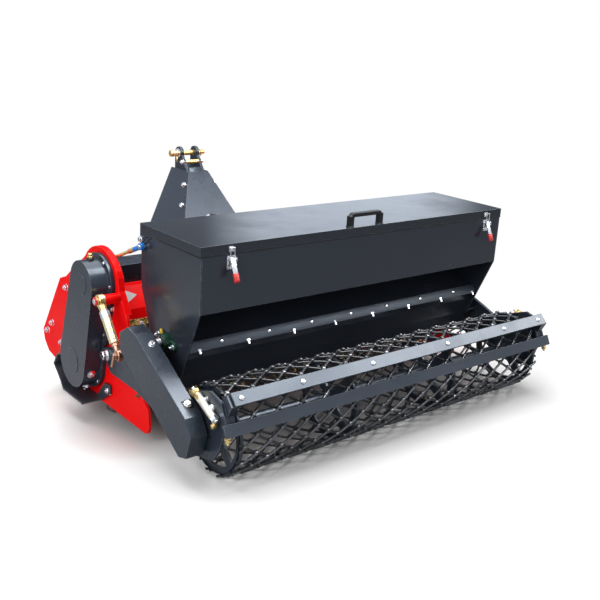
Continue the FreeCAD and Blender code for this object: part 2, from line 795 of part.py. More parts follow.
def stand_point(y, z):
    """Level-frame point to the standing frame, before the origin is centred."""
    a = math.radians(stand_angle())
    ground = roller_r - (roller_y * math.sin(a) + roller_z() * math.cos(a))
    return (y * math.cos(a) - z * math.sin(a), y * math.sin(a) + z * math.cos(a) + ground)


def centre_shift(nodes):
    """Offset that puts the origin on the ground under the middle of the bounding box."""
    bounds = Part.makeCompound(list(nodes.values())).optimalBoundingBox(False)
    return (-(bounds.XMin + bounds.XMax) / 2, -(bounds.YMin + bounds.YMax) / 2, -bounds.ZMin)


def standing(nodes):
    placed = {}
    drop = stand_point(0, 0)
    for name, shape in nodes.items():
        piece = shape.copy()
        piece.rotate(FreeCAD.Vector(0, 0, 0), FreeCAD.Vector(1, 0, 0), stand_angle())
        piece.translate(FreeCAD.Vector(0, drop[0], drop[1]))
        placed[name] = piece
    return placed


def main():
    os.makedirs("parts", exist_ok=True)
    placed = standing(build())
    shift = FreeCAD.Vector(*centre_shift(placed))
    for name, piece in placed.items():
        piece.translate(shift)
        piece.exportStep("parts/" + name + ".step")
    drop = stand_point(0, 0)
    print("stand", round(stand_angle(), 5), round(shift.x, 4), round(shift.y + drop[0], 4), round(shift.z + drop[1], 4))
    print("nodes", len(placed))


main()
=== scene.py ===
import bpy
import json
import math
from mathutils import Matrix, Vector


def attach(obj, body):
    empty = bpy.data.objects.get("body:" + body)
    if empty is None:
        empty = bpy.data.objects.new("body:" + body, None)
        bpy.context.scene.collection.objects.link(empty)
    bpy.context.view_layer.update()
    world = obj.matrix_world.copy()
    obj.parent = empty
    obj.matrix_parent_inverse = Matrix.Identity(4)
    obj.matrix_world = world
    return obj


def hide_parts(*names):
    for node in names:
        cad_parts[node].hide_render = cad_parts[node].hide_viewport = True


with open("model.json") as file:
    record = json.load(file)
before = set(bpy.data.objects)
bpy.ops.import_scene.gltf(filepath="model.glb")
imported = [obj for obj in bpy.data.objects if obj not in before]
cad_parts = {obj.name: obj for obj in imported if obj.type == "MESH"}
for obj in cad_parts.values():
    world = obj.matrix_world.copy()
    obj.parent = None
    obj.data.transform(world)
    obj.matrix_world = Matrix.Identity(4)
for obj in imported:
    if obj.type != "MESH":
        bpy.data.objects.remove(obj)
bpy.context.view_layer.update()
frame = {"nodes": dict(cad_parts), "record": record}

# ---------------------------------------------------------------- how the machine stands
# The burier parks nose-up on its tines and its packer roller. Pieces are laid out with the
# hopper lid level, X across, Y from the hopper's rear face and Z from the roller's lowest
# line, and are then tipped and set down by the same turn as the frame.
joints = {j["name"]: j for j in frame["record"]["behaviour"]["joints"]}
nose_up = math.atan2(joints["pto_spin"]["axis"][2], joints["pto_spin"]["axis"][1])
ROLLER_Y, ROLLER_Z = -0.089, 0.130
tip = Matrix.Rotation(nose_up, 4, "X")
set_down = Vector(joints["roller_spin"]["pos_m"]) - tip @ Vector((0, ROLLER_Y, ROLLER_Z))
STAND = Matrix.Translation(set_down) @ tip


# ---------------------------------------------------------------- side plates and hood
# Laser-cut 8 mm steel plates with a folded hood between them, welded up and sprayed in a
# gloss red enamel. The paint has a faint orange peel and a little dust in its colour, and its
# edges are painted paler: partly thinner paint where they are knocked, partly a painted
# highlight of the light that edges catch.
def texture_base(name):
    made = bpy.data.materials.new(name)
    made.use_nodes = True
    tree = made.node_tree
    tree.nodes.clear()
    out = tree.nodes.new("ShaderNodeOutputMaterial")
    shader = tree.nodes.new("ShaderNodeBsdfPrincipled")
    tree.links.new(shader.outputs["BSDF"], out.inputs["Surface"])
    where = tree.nodes.new("ShaderNodeTexCoord")
    return made, tree, shader, where


def noise(tree, where, scale, detail=3.0, rough=0.5, stretch=None):
    grain = tree.nodes.new("ShaderNodeTexNoise")
    grain.inputs["Scale"].default_value = scale
    grain.inputs["Detail"].default_value = detail
    grain.inputs["Roughness"].default_value = rough
    source = where.outputs["Object"]
    if stretch:
        mapping = tree.nodes.new("ShaderNodeMapping")
        mapping.inputs["Scale"].default_value = stretch
        tree.links.new(source, mapping.inputs["Vector"])
        source = mapping.outputs["Vector"]
    tree.links.new(source, grain.inputs["Vector"])
    return grain.outputs["Fac"]


def ramp(tree, value, low, high, a, b):
    step = tree.nodes.new("ShaderNodeMapRange")
    step.inputs["From Min"].default_value = low
    step.inputs["From Max"].default_value = high
    step.inputs["To Min"].default_value = a
    step.inputs["To Max"].default_value = b
    tree.links.new(value, step.inputs["Value"])
    return step.outputs["Result"]


def blend_colour(tree, factor, first, second):
    mix = tree.nodes.new("ShaderNodeMix")
    mix.data_type = "RGBA"
    tree.links.new(factor, mix.inputs["Factor"])
    for socket, value in (("A", first), ("B", second)):
        target = [s for s in mix.inputs if s.name == socket and s.type == "RGBA"][0]
        if isinstance(value, tuple):
            target.default_value = (*value, 1.0)
        else:
            tree.links.new(value, target)
    return [s for s in mix.outputs if s.type == "RGBA"][0]


def maths(tree, a, b, operation="MULTIPLY"):
    result = tree.nodes.new("ShaderNodeMath")
    result.operation = operation
    tree.links.new(a, result.inputs[0])
    tree.links.new(b, result.inputs[1])
    return result.outputs[0]


def edge_mask(tree, radius):
    """White along edges: where a rounded normal leaves the true one."""
    rounded = tree.nodes.new("ShaderNodeBevel")
    rounded.samples = 4
    rounded.inputs["Radius"].default_value = radius
    flat = tree.nodes.new("ShaderNodeNewGeometry")
    dot = tree.nodes.new("ShaderNodeVectorMath")
    dot.operation = "DOT_PRODUCT"
    tree.links.new(rounded.outputs["Normal"], dot.inputs[0])
    tree.links.new(flat.outputs["Normal"], dot.inputs[1])
    return ramp(tree, dot.outputs["Value"], 0.99, 0.80, 0.0, 1.0)


def bump(tree, shader, height, strength, distance):
    node = tree.nodes.new("ShaderNodeBump")
    node.inputs["Strength"].default_value = strength
    node.inputs["Distance"].default_value = distance
    tree.links.new(height, node.inputs["Height"])
    tree.links.new(node.outputs["Normal"], shader.inputs["Normal"])


def enamel(name, colour, dusty, edge, rough, peel=0.05, gloss=0.5, sheen=(1.0, 1.0, 1.0)):
    made, tree, shader, where = texture_base(name)
    cloud = ramp(tree, noise(tree, where, 2.2, 4.0, 0.55), 0.35, 0.75, 0.0, 0.6)
    body = blend_colour(tree, cloud, colour, dusty)
    # Paler edge colour: partly knocked, thinner paint, partly a painted highlight along edges.
    knocked_and_highlit_edges = maths(tree, edge_mask(tree, 0.0018),
                    ramp(tree, noise(tree, where, 60.0, 3.0, 0.6), 0.40, 0.62, 0.30, 0.90))
    tree.links.new(blend_colour(tree, knocked_and_highlit_edges, body, edge), shader.inputs["Base Color"])
    tree.links.new(ramp(tree, noise(tree, where, 9.0, 4.0, 0.6), 0.3, 0.7, rough - 0.05, rough + 0.07),
                   shader.inputs["Roughness"])
    shader.inputs["Specular IOR Level"].default_value = gloss
    shader.inputs["Specular Tint"].default_value = (*sheen, 1.0)
    bump(tree, shader, noise(tree, where, 150.0, 1.0, 0.4), peel, 0.0005)
    return made


# The pale pink edge colour is partly knocked paint and partly a painted highlight on the rims.
red_enamel = enamel("red_enamel", (0.96, 0.0030, 0.0034), (0.90, 0.0028, 0.0032), (0.98, 0.20, 0.18), 0.36,
                    gloss=0.05)


def dress(material, *nodes, edge=0.0009):
    """Gives CAD nodes their finish, and the rolled edge that sheet and castings have."""
    for name in nodes:
        node = frame["nodes"][name]
        node.data.materials.clear()
        node.data.materials.append(material)
        seam = node.modifiers.new("seam", "WELD")
        seam.merge_threshold = 0.00002
        rolled = node.modifiers.new("edge", "BEVEL")
        rolled.width = edge
        rolled.segments = 2
        rolled.limit_method = "ANGLE"
        rolled.angle_limit = math.radians(35)


dress(red_enamel, "side_plates", "rotor_hood")


def pick(piece):
    """Leaves one piece selected and active."""
    bpy.ops.object.select_all(action="DESELECT")
    piece.select_set(True)
    bpy.context.view_layer.objects.active = piece


def fixed(piece):
    """Moves the piece's place, turn and size into its mesh."""
    pick(piece)
    bpy.ops.object.transform_apply(location=True, rotation=True, scale=True)
    return piece


def outward(piece):
    """Turns every face of the piece outward."""
    pick(piece)
    bpy.ops.object.mode_set(mode="EDIT")
    bpy.ops.mesh.select_all(action="SELECT")
    bpy.ops.mesh.normals_make_consistent(inside=False)
    bpy.ops.object.mode_set(mode="OBJECT")
    return piece


def turned(sides, *steps):
    """A round or many-sided part raised along Z through (height, radius) steps."""
    height, radius = steps[0]
    bpy.ops.mesh.primitive_circle_add(vertices=sides, radius=radius, fill_type="NGON", location=(0, 0, height))
    bpy.ops.object.mode_set(mode="EDIT")
    bpy.ops.mesh.select_all(action="SELECT")
    for next_height, next_radius in steps[1:]:
        bpy.ops.mesh.extrude_region_move(TRANSFORM_OT_translate={"value": (0, 0, next_height - height)})
        grow = next_radius / radius
        bpy.ops.transform.resize(value=(grow, grow, grow), center_override=(0, 0, next_height))
        height, radius = next_height, next_radius
    bpy.ops.object.mode_set(mode="OBJECT")
    return fixed(outward(bpy.context.object))


def block(low, high, *cuts):
    """A squared block between two corners, cut off on the far side of each (point, normal)."""
    low, high = Vector(low), Vector(high)
    bpy.ops.mesh.primitive_cube_add(size=1, location=(low + high) / 2, scale=high - low)
    piece = fixed(bpy.context.object)
    bpy.ops.object.mode_set(mode="EDIT")
    for point, normal in cuts:
        bpy.ops.mesh.select_all(action="SELECT")
        bpy.ops.mesh.bisect(plane_co=point, plane_no=normal, use_fill=True, clear_outer=True)
    bpy.ops.object.mode_set(mode="OBJECT")
    return outward(piece)


def rounded(piece, width, segments=2):
    """Breaks the piece's edges with a bevel."""
    pick(piece)
    rolled = piece.modifiers.new("edge", "BEVEL")
    rolled.width = width
    rolled.segments = segments
    rolled.limit_method = "ANGLE"
    rolled.angle_limit = math.radians(35)
    bpy.ops.object.modifier_apply(modifier="edge")
    return piece


def joined(*pieces):
    """Welds loose pieces into the first of them."""
    if len(pieces) > 1:
        pick(pieces[0])
        for piece in pieces[1:]:
            piece.select_set(True)
        bpy.ops.object.join()
    return pieces[0]


def twin(piece):
    made = piece.copy()
    made.data = piece.data.copy()
    bpy.context.scene.collection.objects.link(made)
    return made


def aimed(piece, at, toward=(0, 0, 1), turn=0.0):
    """Moves a piece modelled at the origin along Z to its place, and points it."""
    facing = Vector((0, 0, 1)).rotation_difference(Vector(toward)).to_matrix().to_4x4()
    piece.matrix_world = (Matrix.Translation(at) @ facing @ Matrix.Rotation(math.radians(turn), 4, "Z")
                          @ piece.matrix_world)
    return fixed(piece)


def spread(model, *places):
    """One copy of a part at each (place, direction, turn), as one piece."""
    copies = [aimed(twin(model), *place) for place in places]
    bpy.data.objects.remove(model)
    return joined(*copies)


def mirrored(piece):
    """The right-hand twin of a left-hand piece."""
    other = twin(piece)
    other.scale = (-1, 1, 1)
    return outward(fixed(other))


def both_sides(piece):
    return joined(piece, mirrored(piece))


def fitted(piece, name, body, material, smooth=38, replaces=()):
    """Sets a laid-out piece down with the machine and hands it to its body."""
    piece.matrix_world = STAND @ piece.matrix_world
    fixed(piece)
    bpy.ops.object.shade_smooth_by_angle(angle=math.radians(smooth))
    piece.name = name
    piece.data.materials.clear()
    piece.data.materials.append(material)
    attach(piece, body)
    if replaces:
        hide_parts(*replaces)
    return piece


def plating(name, colour, tint, rough, blotch=0.5, metallic=1.0, grain=900.0):
    """Zinc-plated steel: soft cloudy tone, fine crystals and a brighter edge."""
    made, tree, shader, where = texture_base(name)
    cloud = ramp(tree, noise(tree, where, 35.0, 4.0, 0.6), 0.35, 0.65, 0.0, blotch)
    body = blend_colour(tree, cloud, colour, tint)
    edge = tuple(min(1.0, c * 1.25 + 0.08) for c in colour)
    tree.links.new(blend_colour(tree, maths(tree, edge_mask(tree, 0.0006), cloud), body, edge),
                   shader.inputs["Base Color"])
    tree.links.new(ramp(tree, noise(tree, where, 120.0, 3.0, 0.6), 0.3, 0.7, rough - 0.06, rough + 0.10),
                   shader.inputs["Roughness"])
    shader.inputs["Metallic"].default_value = metallic
    bump(tree, shader, noise(tree, where, grain, 2.0, 0.6), 0.08, 0.0004)
    return made


bright_zinc = plating("bright_zinc", (0.80, 0.81, 0.83), (0.62, 0.64, 0.68), 0.24)
LEFT, RIGHT, BACK, FRONT, UP = (-1, 0, 0), (1, 0, 0), (0, -1, 0), (0, 1, 0), (0, 0, 1)


def hex_bolt(r=0.0098, stub=0.004, washer=True):
    """Hexagon head over a washer, with the chamfered crown and, for a nut, the bolt's end."""
    base = 0.0018 if washer else 0.0
    head = turned(6, (base, r), (base + r * 0.62, r), (base + r * 0.74, r * 0.84))
    parts = [head]
    if washer:
        parts.append(turned(20, (0, r * 1.12), (0.0014, r * 1.12), (0.0018, r * 1.08)))
    if stub:
        top = base + r * 0.74
        end = top + stub
        parts.append(turned(14, (top - 0.001, r * 0.50), (end, r * 0.50), (end + 0.0008, r * 0.42)))
    return joined(*parts)


def bolted(piece, name, body):
    """Bright zinc fixings, set down with the machine."""
    fitted(piece, name, body, bright_zinc)


PLATE_OUT = 0.636
plate_bolts = spread(hex_bolt(), *[((-PLATE_OUT, y, z), LEFT, turn) for y, z, turn in (
    (0.702, 0.309, 10), (0.815, 0.157, 25), (0.853, 0.120, 0), (0.744, 0.111, 40), (0.394, 0.329, 15))])
bolted(both_sides(plate_bolts), "side_plate_bolts", "tiller")

# ---------------------------------------------------------------- blank sign on the hood
# A thin triangular label plate stuck to the hood's slope. It carries no print: only its
# satin face and a slightly paler rim are there.
sign = turned(3, (0, 0.0285), (0.0007, 0.0285))
bare_plate = plating("bare_label_plate", (0.50, 0.49, 0.49), (0.42, 0.42, 0.43), 0.60, metallic=0.1)
slope = Vector((0, -0.055, 0.052)).normalized()
aimed(sign, Vector((-0.590, 0.3855, 0.3612)) + slope * 0.0004, slope, 30)
fitted(sign, "hood_label_plate", "tiller", bare_plate)

# ---------------------------------------------------------------- main beam
# Square steel tube welded between the side plates, with the hood hung under it. Like the
# hopper, hitch and roller frame it is sprayed in a dark grey semi-gloss enamel.
# Its pale bluish edge colour is partly knocked paint and partly a painted highlight on edges.
grey_enamel = enamel("anthracite_enamel", (0.021, 0.028, 0.041), (0.027, 0.035, 0.049),
                     (0.30, 0.33, 0.38), 0.27, peel=0.02, sheen=(0.78, 0.88, 1.0))
dress(grey_enamel, "main_beam")

# ---------------------------------------------------------------- chain case
# Pressed steel case with an oil bath, bolted to the left side plate through its flange. A
# brass breather stands on a black socket on its top and two plugs close its lower end.
dress(grey_enamel, "chain_case", edge=0.0025)
flange_bolts = spread(hex_bolt(0.0055, 0.0, washer=False), *[((-0.6495, y, z), LEFT, turn) for y, z, turn in
                      ((0.419, 0.459, 5), (0.383, 0.397, 20), (0.423, 0.241, 35), (0.465, 0.076, 10),
                       (0.537, 0.397, 0), (0.496, 0.463, 15), (0.568, 0.280, 25), (0.534, 0.046, 5),
                       (0.598, 0.076, 30), (0.612, 0.152, 12))])
bolted(flange_bolts, "case_flange_bolts", "tiller")
brass = plating("brass_fitting", (0.72, 0.52, 0.20), (0.58, 0.40, 0.14), 0.26)
breather = joined(turned(6, (0.005, 0.0085), (0.011, 0.0085), (0.0122, 0.0074)),
                  turned(16, (0.0115, 0.0058), (0.0150, 0.0058), (0.0155, 0.0070), (0.0185, 0.0070),
                         (0.0200, 0.0050)))
fitted(aimed(breather, (-0.6722, 0.460, 0.4625), UP, 12), "case_breather", "tiller", brass)
black_plastic = enamel("black_moulded_plastic", (0.006, 0.006, 0.007), (0.010, 0.010, 0.011),
                       (0.04, 0.04, 0.04), 0.34, peel=0.08, gloss=0.32)
socket = turned(20, (-0.004, 0.0115), (0.004, 0.0115), (0.006, 0.0100))
fitted(aimed(socket, (-0.6722, 0.460, 0.4625), UP), "case_breather_socket", "tiller", black_plastic)
case_plugs = spread(joined(turned(18, (0, 0.0130), (0.0030, 0.0130), (0.0040, 0.0110)),
                           turned(6, (0.0035, 0.0070), (0.0080, 0.0070), (0.0088, 0.0060))),
                    ((-0.6800, 0.4490, 0.1120), (0, -0.97, -0.24), 0),
                    ((-0.6680, 0.505, 0.0535), (0, -0.32, -0.95), 0))
bolted(case_plugs, "case_plugs", "tiller")

case_boss = aimed(turned(24, (0, 0.0165), (0.004, 0.0165), (0.006, 0.0140)), (-0.6500, 0.499, 0.092), LEFT)
fitted(case_boss, "case_drain_boss", "tiller", black_plastic)
low_bolts = spread(hex_bolt(0.0082, 0.002, washer=False), ((-0.6556, 0.499, 0.092), LEFT, 10),
                   ((-0.6500, 0.549, 0.0165), LEFT, 25))
bolted(low_bolts, "case_low_bolts", "tiller")

# ---------------------------------------------------------------- skids
# Bent wear strips that carry the side plates over the ground. Their soles are rubbed
# bright, and each is held at the rear by one bolt over a heavy washer.
def by_mask(tree, shader, mask, **ends):
    """Runs the shader's sockets from one value to another along a mask."""
    for socket, (low, high) in ends.items():
        tree.links.new(ramp(tree, mask, 0.0, 1.0, low, high), shader.inputs[socket])


def worn_enamel(name, high, low):
    """Grey enamel rubbed down to bright steel towards the ground, between two heights."""
    made, tree, shader, where = texture_base(name)
    split = tree.nodes.new("ShaderNodeSeparateXYZ")
    tree.links.new(where.outputs["Object"], split.inputs[0])
    rubbed = ramp(tree, split.outputs["Z"], high, low, 0.0, 1.0)
    speckle = ramp(tree, noise(tree, where, 45.0, 5.0, 0.65, (0.4, 1, 1)), 0.38, 0.62, 0.0, 1.0)
    patchy = maths(tree, rubbed, speckle)
    body = blend_colour(tree, ramp(tree, noise(tree, where, 3.0), 0.35, 0.7, 0.0, 0.6),
                        (0.030, 0.036, 0.047), (0.038, 0.045, 0.057))
    tree.links.new(blend_colour(tree, patchy, body, (0.34, 0.33, 0.32)), shader.inputs["Base Color"])
    by_mask(tree, shader, patchy, Roughness=(0.36, 0.46), Metallic=(0.12, 0.9))
    bump(tree, shader, noise(tree, where, 260.0, 3.0, 0.6), 0.12, 0.0006)
    return made


# A screw that was never painted sits low on each side plate and has rusted.
bare_screw = joined(turned(6, (0, 0.0062), (0.0050, 0.0062), (0.0058, 0.0052)),
                    turned(14, (0.005, 0.0036), (0.012, 0.0032)))
rusty_steel = plating("rusted_steel", (0.30, 0.15, 0.07), (0.20, 0.09, 0.05), 0.55, metallic=0.5)
fitted(both_sides(aimed(bare_screw, (-0.6362, 0.237, 0.112), LEFT)), "plate_bare_screws", "tiller", rusty_steel)
worn_skid = worn_enamel("skid_enamel_worn", 0.075, 0.045)
dress(worn_skid, "skids")
skid_bolts = joined(turned(22, (0, 0.0155), (0.0035, 0.0155), (0.0042, 0.0145)),
                    aimed(hex_bolt(0.0105, 0.003, washer=False), (0, 0, 0.004)))
skid_bolts = spread(skid_bolts, ((-0.6365, 0.415, 0.062), LEFT, 12))
bolted(both_sides(skid_bolts), "skid_bolts", "tiller")

# ---------------------------------------------------------------- gearbox and input shaft
# Cast iron bevel box behind the beam with raised ribs, a bolted bearing cover and filler
# plug. Its six-splined shaft stands in a ribbed black plastic cup.
cast_grey = enamel("cast_iron_grey", (0.030, 0.036, 0.047), (0.040, 0.047, 0.058), (0.12, 0.13, 0.15), 0.46,
                   peel=0.45)
dress(cast_grey, "gearbox", edge=0.006)
rib = rounded(block((-0.004, 0.500, 0.466), (0.004, 0.636, 0.478)), 0.0015)
top_ribs = spread(rib, *[((x, 0, 0),) for x in (-0.056, -0.019, 0.019, 0.056)])
side_rib = rounded(block((-0.089, 0.500, -0.004), (-0.083, 0.636, 0.004)), 0.0015)
side_ribs = both_sides(spread(side_rib, *[((0, 0, z),) for z in (0.388, 0.416, 0.444)]))
PTO_Z = 0.414
cover = aimed(turned(32, (0, 0.058), (0.006, 0.058), (0.008, 0.055)), (0, 0.640, PTO_Z), FRONT)
plug = aimed(turned(6, (0, 0.010), (0.010, 0.010), (0.012, 0.008)), (0.036, 0.545, 0.470), UP)
fitted(joined(top_ribs, side_ribs, cover, plug), "gearbox_ribs_and_cover", "tiller", cast_grey)
cover_bolts = spread(hex_bolt(0.0065, 0.0, washer=False),
                     *[((x, 0.6398, z), FRONT, 0) for z in (0.458, 0.374) for x in (-0.074, 0.074)])
bolted(cover_bolts, "gearbox_cover_bolts", "tiller")
bare_steel = plating("bare_steel", (0.56, 0.55, 0.54), (0.42, 0.41, 0.40), 0.30, grain=500.0)
shaft_core = turned(24, (0.605, 0.0200), (0.666, 0.0200), (0.667, 0.0148), (0.700, 0.0148), (0.7005, 0.0135),
                    (0.7035, 0.0135), (0.704, 0.0148), (0.7065, 0.0148), (0.708, 0.0135))
splines = spread(block((-0.0040, 0.0140, 0.667), (0.0040, 0.0174, 0.700)),
                 *[((0, 0, 0), UP, 60 * k) for k in range(6)])
pto = aimed(joined(shaft_core, splines), (0, 0, PTO_Z), FRONT)
fitted(pto, "splined_shaft", "pto", bare_steel, replaces=("pto_shaft",))
dress(black_plastic, "pto_guard", edge=0.0015)


def ends_picked(piece):
    """Opens a turned part for editing with only its round end faces picked."""
    pick(piece)
    bpy.ops.object.mode_set(mode="EDIT")
    bpy.ops.mesh.select_all(action="DESELECT")
    bpy.ops.object.mode_set(mode="OBJECT")
    for face in piece.data.polygons:
        face.select = len(face.vertices) > 8
    bpy.ops.object.mode_set(mode="EDIT")
    return piece


guard_ring = ends_picked(turned(48, (0, 0.0655), (0, 0.0668), (0.003, 0.0672), (0.006, 0.0668)))
bpy.ops.mesh.delete(type="ONLY_FACE")
bpy.ops.object.mode_set(mode="OBJECT")
wall = guard_ring.modifiers.new("wall", "SOLIDIFY")
wall.thickness = 0.0012
wall.offset = -1
bpy.ops.object.modifier_apply(modifier="wall")
guard_rings = spread(guard_ring, *[((0, y, PTO_Z), FRONT) for y in (0.664, 0.684, 0.704)])
fitted(guard_rings, "shaft_guard_ribs", "tiller", black_plastic)
dress(cast_grey, "rotor_bearing", edge=0.003)
ROTOR_Y, ROTOR_Z, BOLT_CIRCLE = 0.530, 0.132, 0.055
housing_bolts = spread(hex_bolt(0.0075, 0.003), *[
    ((0.645, ROTOR_Y + BOLT_CIRCLE * math.cos(a), ROTOR_Z + BOLT_CIRCLE * math.sin(a)), RIGHT, 0)
    for a in (math.pi * k / 4 for k in (1, 3, 5, 7))])
bolted(housing_bolts, "bearing_housing_bolts", "tiller")

# ---------------------------------------------------------------- three-point hitch
# Two cut rails run forward from the beam to the lower link studs, joined by a cross tube.
# Splayed mast legs rise from it to the top link clevis under a folded sheet cover.
dress(grey_enamel, "hitch_beam", "mast_legs", "mast_cover")
RAIL_OUT, RAIL_IN = -0.3415, -0.3295
rail_top = ((0, 0.950, 0.316), (0, 0.056, 0.260))
rail_rear = block((RAIL_OUT, 0.488, 0.300), (RAIL_IN, 0.700, 0.440), ((0, 0.500, 0.356), (0, -0.036, -0.160)),
                  ((0, 0.488, 0.440), (0, 0.068, 0.202)))
rail_waist = block((RAIL_OUT + 0.0003, 0.645, 0.190), (RAIL_IN - 0.0003, 0.800, 0.440),
                   ((0, 0.650, 0.322), (0, -0.121, -0.140)), rail_top)
rail_nose = block((RAIL_OUT, 0.785, 0.160), (RAIL_IN, 1.0392, 0.370), ((0, 0.960, 0.168), (0, -0.033, -0.170)),
                  ((0, 0.960, 0.168), (0, 0.004, -0.060)), ((0, 1.020, 0.172), (0, 0.033, -0.020)),
                  ((0, 1.040, 0.205), (0, 0.057, 0.014)), ((0, 1.026, 0.262), (0, 0.056, 0.076)), rail_top)
rails = joined(*[rounded(part, 0.0009) for part in (rail_rear, rail_waist, rail_nose)])
fitted(both_sides(rails), "hitch_side_rails", "tiller", grey_enamel, replaces=("hitch_rails",))
mast_bolts = spread(hex_bolt(0.0085, 0.0), ((-0.0636, 0.935, 0.557), (-0.908, 0, 0.419), 0),
                    ((-0.0945, 0.897, 0.490), (-0.908, 0, 0.419), 20))
bolted(both_sides(mast_bolts), "mast_cover_bolts", "tiller")
top_plate = block((-0.0276, 0.945, 0.5985), (0.0276, 1.042, 0.6140), ((0, 0.962, 0.6140), (0, -0.80, 0.60)))
fitted(rounded(top_plate, 0.0006), "mast_top_plate", "tiller", grey_enamel)
gold_zinc = plating("yellow_passivated_zinc", (0.80, 0.57, 0.22), (0.88, 0.72, 0.36), 0.24, metallic=0.85)


def linch_pin(size):
    """Spring-ringed linch pin: a short pin across and a wire ring that snaps over the end."""
    pin = turned(12, (-size, 0.0024), (size * 0.9, 0.0024), (size, 0.0016))
    bpy.ops.mesh.primitive_torus_add(major_radius=size * 1.15, minor_radius=0.0014,
                                     major_segments=28, minor_segments=8,
                                     rotation=(math.pi / 2, 0, 0), location=(0, 0, -size * 0.1))
    return joined(pin, fixed(bpy.context.object))


TOP_Y, TOP_Z = 1.019, 0.661
top_pin = turned(28, (-0.074, 0.0105), (-0.072, 0.0125), (-0.060, 0.0125), (-0.0585, 0.0110), (-0.0585, 0.0095),
                 (0.060, 0.0095), (0.073, 0.0072))
aimed(top_pin, (0, TOP_Y, TOP_Z), RIGHT)
top_clip = aimed(linch_pin(0.011), (0.056, TOP_Y, TOP_Z), (0, 0.25, 1), 80)
clip_left = aimed(linch_pin(0.010), (-0.052, TOP_Y - 0.012, TOP_Z - 0.020), (0, 0.3, 1), 60)
spacer = aimed(turned(20, (-0.0275, 0.0080), (0.0275, 0.0080)), (0, 0.987, 0.632), RIGHT)
fitted(joined(top_pin, top_clip, clip_left, spacer), "top_link_pin_and_clip", "tiller", gold_zinc,
       replaces=("hitch_pins",))
through_bolt = spread(hex_bolt(0.0085, 0.003), ((-0.0385, 0.987, 0.632), LEFT, 10))
washers = aimed(turned(24, (0, 0.0170), (0.0025, 0.0170), (0.003, 0.0160)), (-0.0385, TOP_Y, TOP_Z), LEFT)
bolted(both_sides(joined(through_bolt, washers)), "clevis_bolt_and_washers", "tiller")
link_stud = turned(28, (0.3215, 0.0160), (0.3495, 0.0160), (0.3495, 0.0110), (0.4365, 0.0110), (0.4395, 0.0085))
aimed(link_stud, (0, 1.005, 0.205), LEFT)
stud_clip = aimed(linch_pin(0.0125), (-0.4290, 1.005, 0.205), (0, 0.15, 1), 80)
fitted(both_sides(joined(link_stud, stud_clip)), "lower_link_studs", "tiller", bright_zinc,
       replaces=("hitch_pins",))

# ---------------------------------------------------------------- rotor
# Thick tube with eight welded flanges. Four forged tines are bolted to each, turned from
# flange to flange so that they strike in a spiral, and polished at the tips by the soil.
rotor_steel = enamel("rotor_enamel", (0.050, 0.054, 0.060), (0.075, 0.066, 0.056), (0.24, 0.23, 0.22), 0.48,
                     peel=0.2)
dress(rotor_steel, "rotor_shaft", "rotor_flanges")
TINE_R = 0.190
FLANGE_T, TINE_T, TINE_W = 0.008, 0.014, 0.046
step_angle = 360.0 / 4 / 4
row_half = 0.628 - 0.012 - 0.024
row_pitch = 2 * row_half / 7
blade = block((0, -TINE_W / 2, -TINE_R), (TINE_T, TINE_W / 2, -0.074),
              ((0, 0, -TINE_R), (0, 0.061, -0.998)), ((0, 0, -TINE_R), (0, -0.061, -0.998)),
              ((0.005, 0, -TINE_R), (0.95, 0, -0.30)),
              ((0, -TINE_W / 2, -0.100), (0, -0.97, 0.24)), ((0, TINE_W / 2, -0.100), (0, 0.97, 0.24)))
rounded(blade, 0.0022)
tine_bolt = hex_bolt(0.0095, 0.004)
tine_nuts = joined(aimed(twin(tine_bolt), (TINE_T, 0.010, -0.084), RIGHT),
                   aimed(tine_bolt, (-FLANGE_T, -0.010, -0.084), LEFT))
blades, nuts = [], []
for row in range(4):
    for side in (-1, 1):
        flange_x = side * (row_half - row * row_pitch)
        first = (row - 0.5) * step_angle
        for k in range(4):
            spin = Matrix.Rotation(math.radians(first + 90 * k) + nose_up, 4, "X")
            for model, heap in ((blade, blades), (tine_nuts, nuts)):
                made = twin(model)
                flip = Matrix.Identity(4) if side < 0 else Matrix.Scale(-1, 4, (1, 0, 0))
                made.matrix_world = (Matrix.Translation((flange_x, ROTOR_Y, ROTOR_Z)) @ spin @ flip
                                     @ Matrix.Translation((FLANGE_T / 2, 0, 0)))
                heap.append(made)
bpy.data.objects.remove(blade)
bpy.data.objects.remove(tine_nuts)


def settled(heap):
    """Fixes each copy's place in its mesh and turns mirrored ones right side out."""
    pick(heap[0])
    for made in heap:
        made.select_set(True)
    bpy.ops.object.transform_apply(location=True, rotation=True, scale=True)
    bpy.ops.object.join()
    return outward(heap[0])


def span(tree, where, shift=(0, 0, 0), scale=(1, 1, 1)):
    """Length of the surface's place, once scaled and shifted."""
    placed = tree.nodes.new("ShaderNodeMapping")
    placed.inputs["Location"].default_value = shift
    placed.inputs["Scale"].default_value = scale
    tree.links.new(where.outputs["Object"], placed.inputs["Vector"])
    length = tree.nodes.new("ShaderNodeVectorMath")
    length.operation = "LENGTH"
    tree.links.new(placed.outputs["Vector"], length.inputs[0])
    return length.outputs["Value"]


def reach_from(tree, where, y, z):
    """Distance of the surface from a cross axis of the level machine."""
    axis_y, axis_z = (STAND @ Vector((0, y, z)))[1:3]
    return span(tree, where, (0, -axis_y, -axis_z), (0, 1, 1))


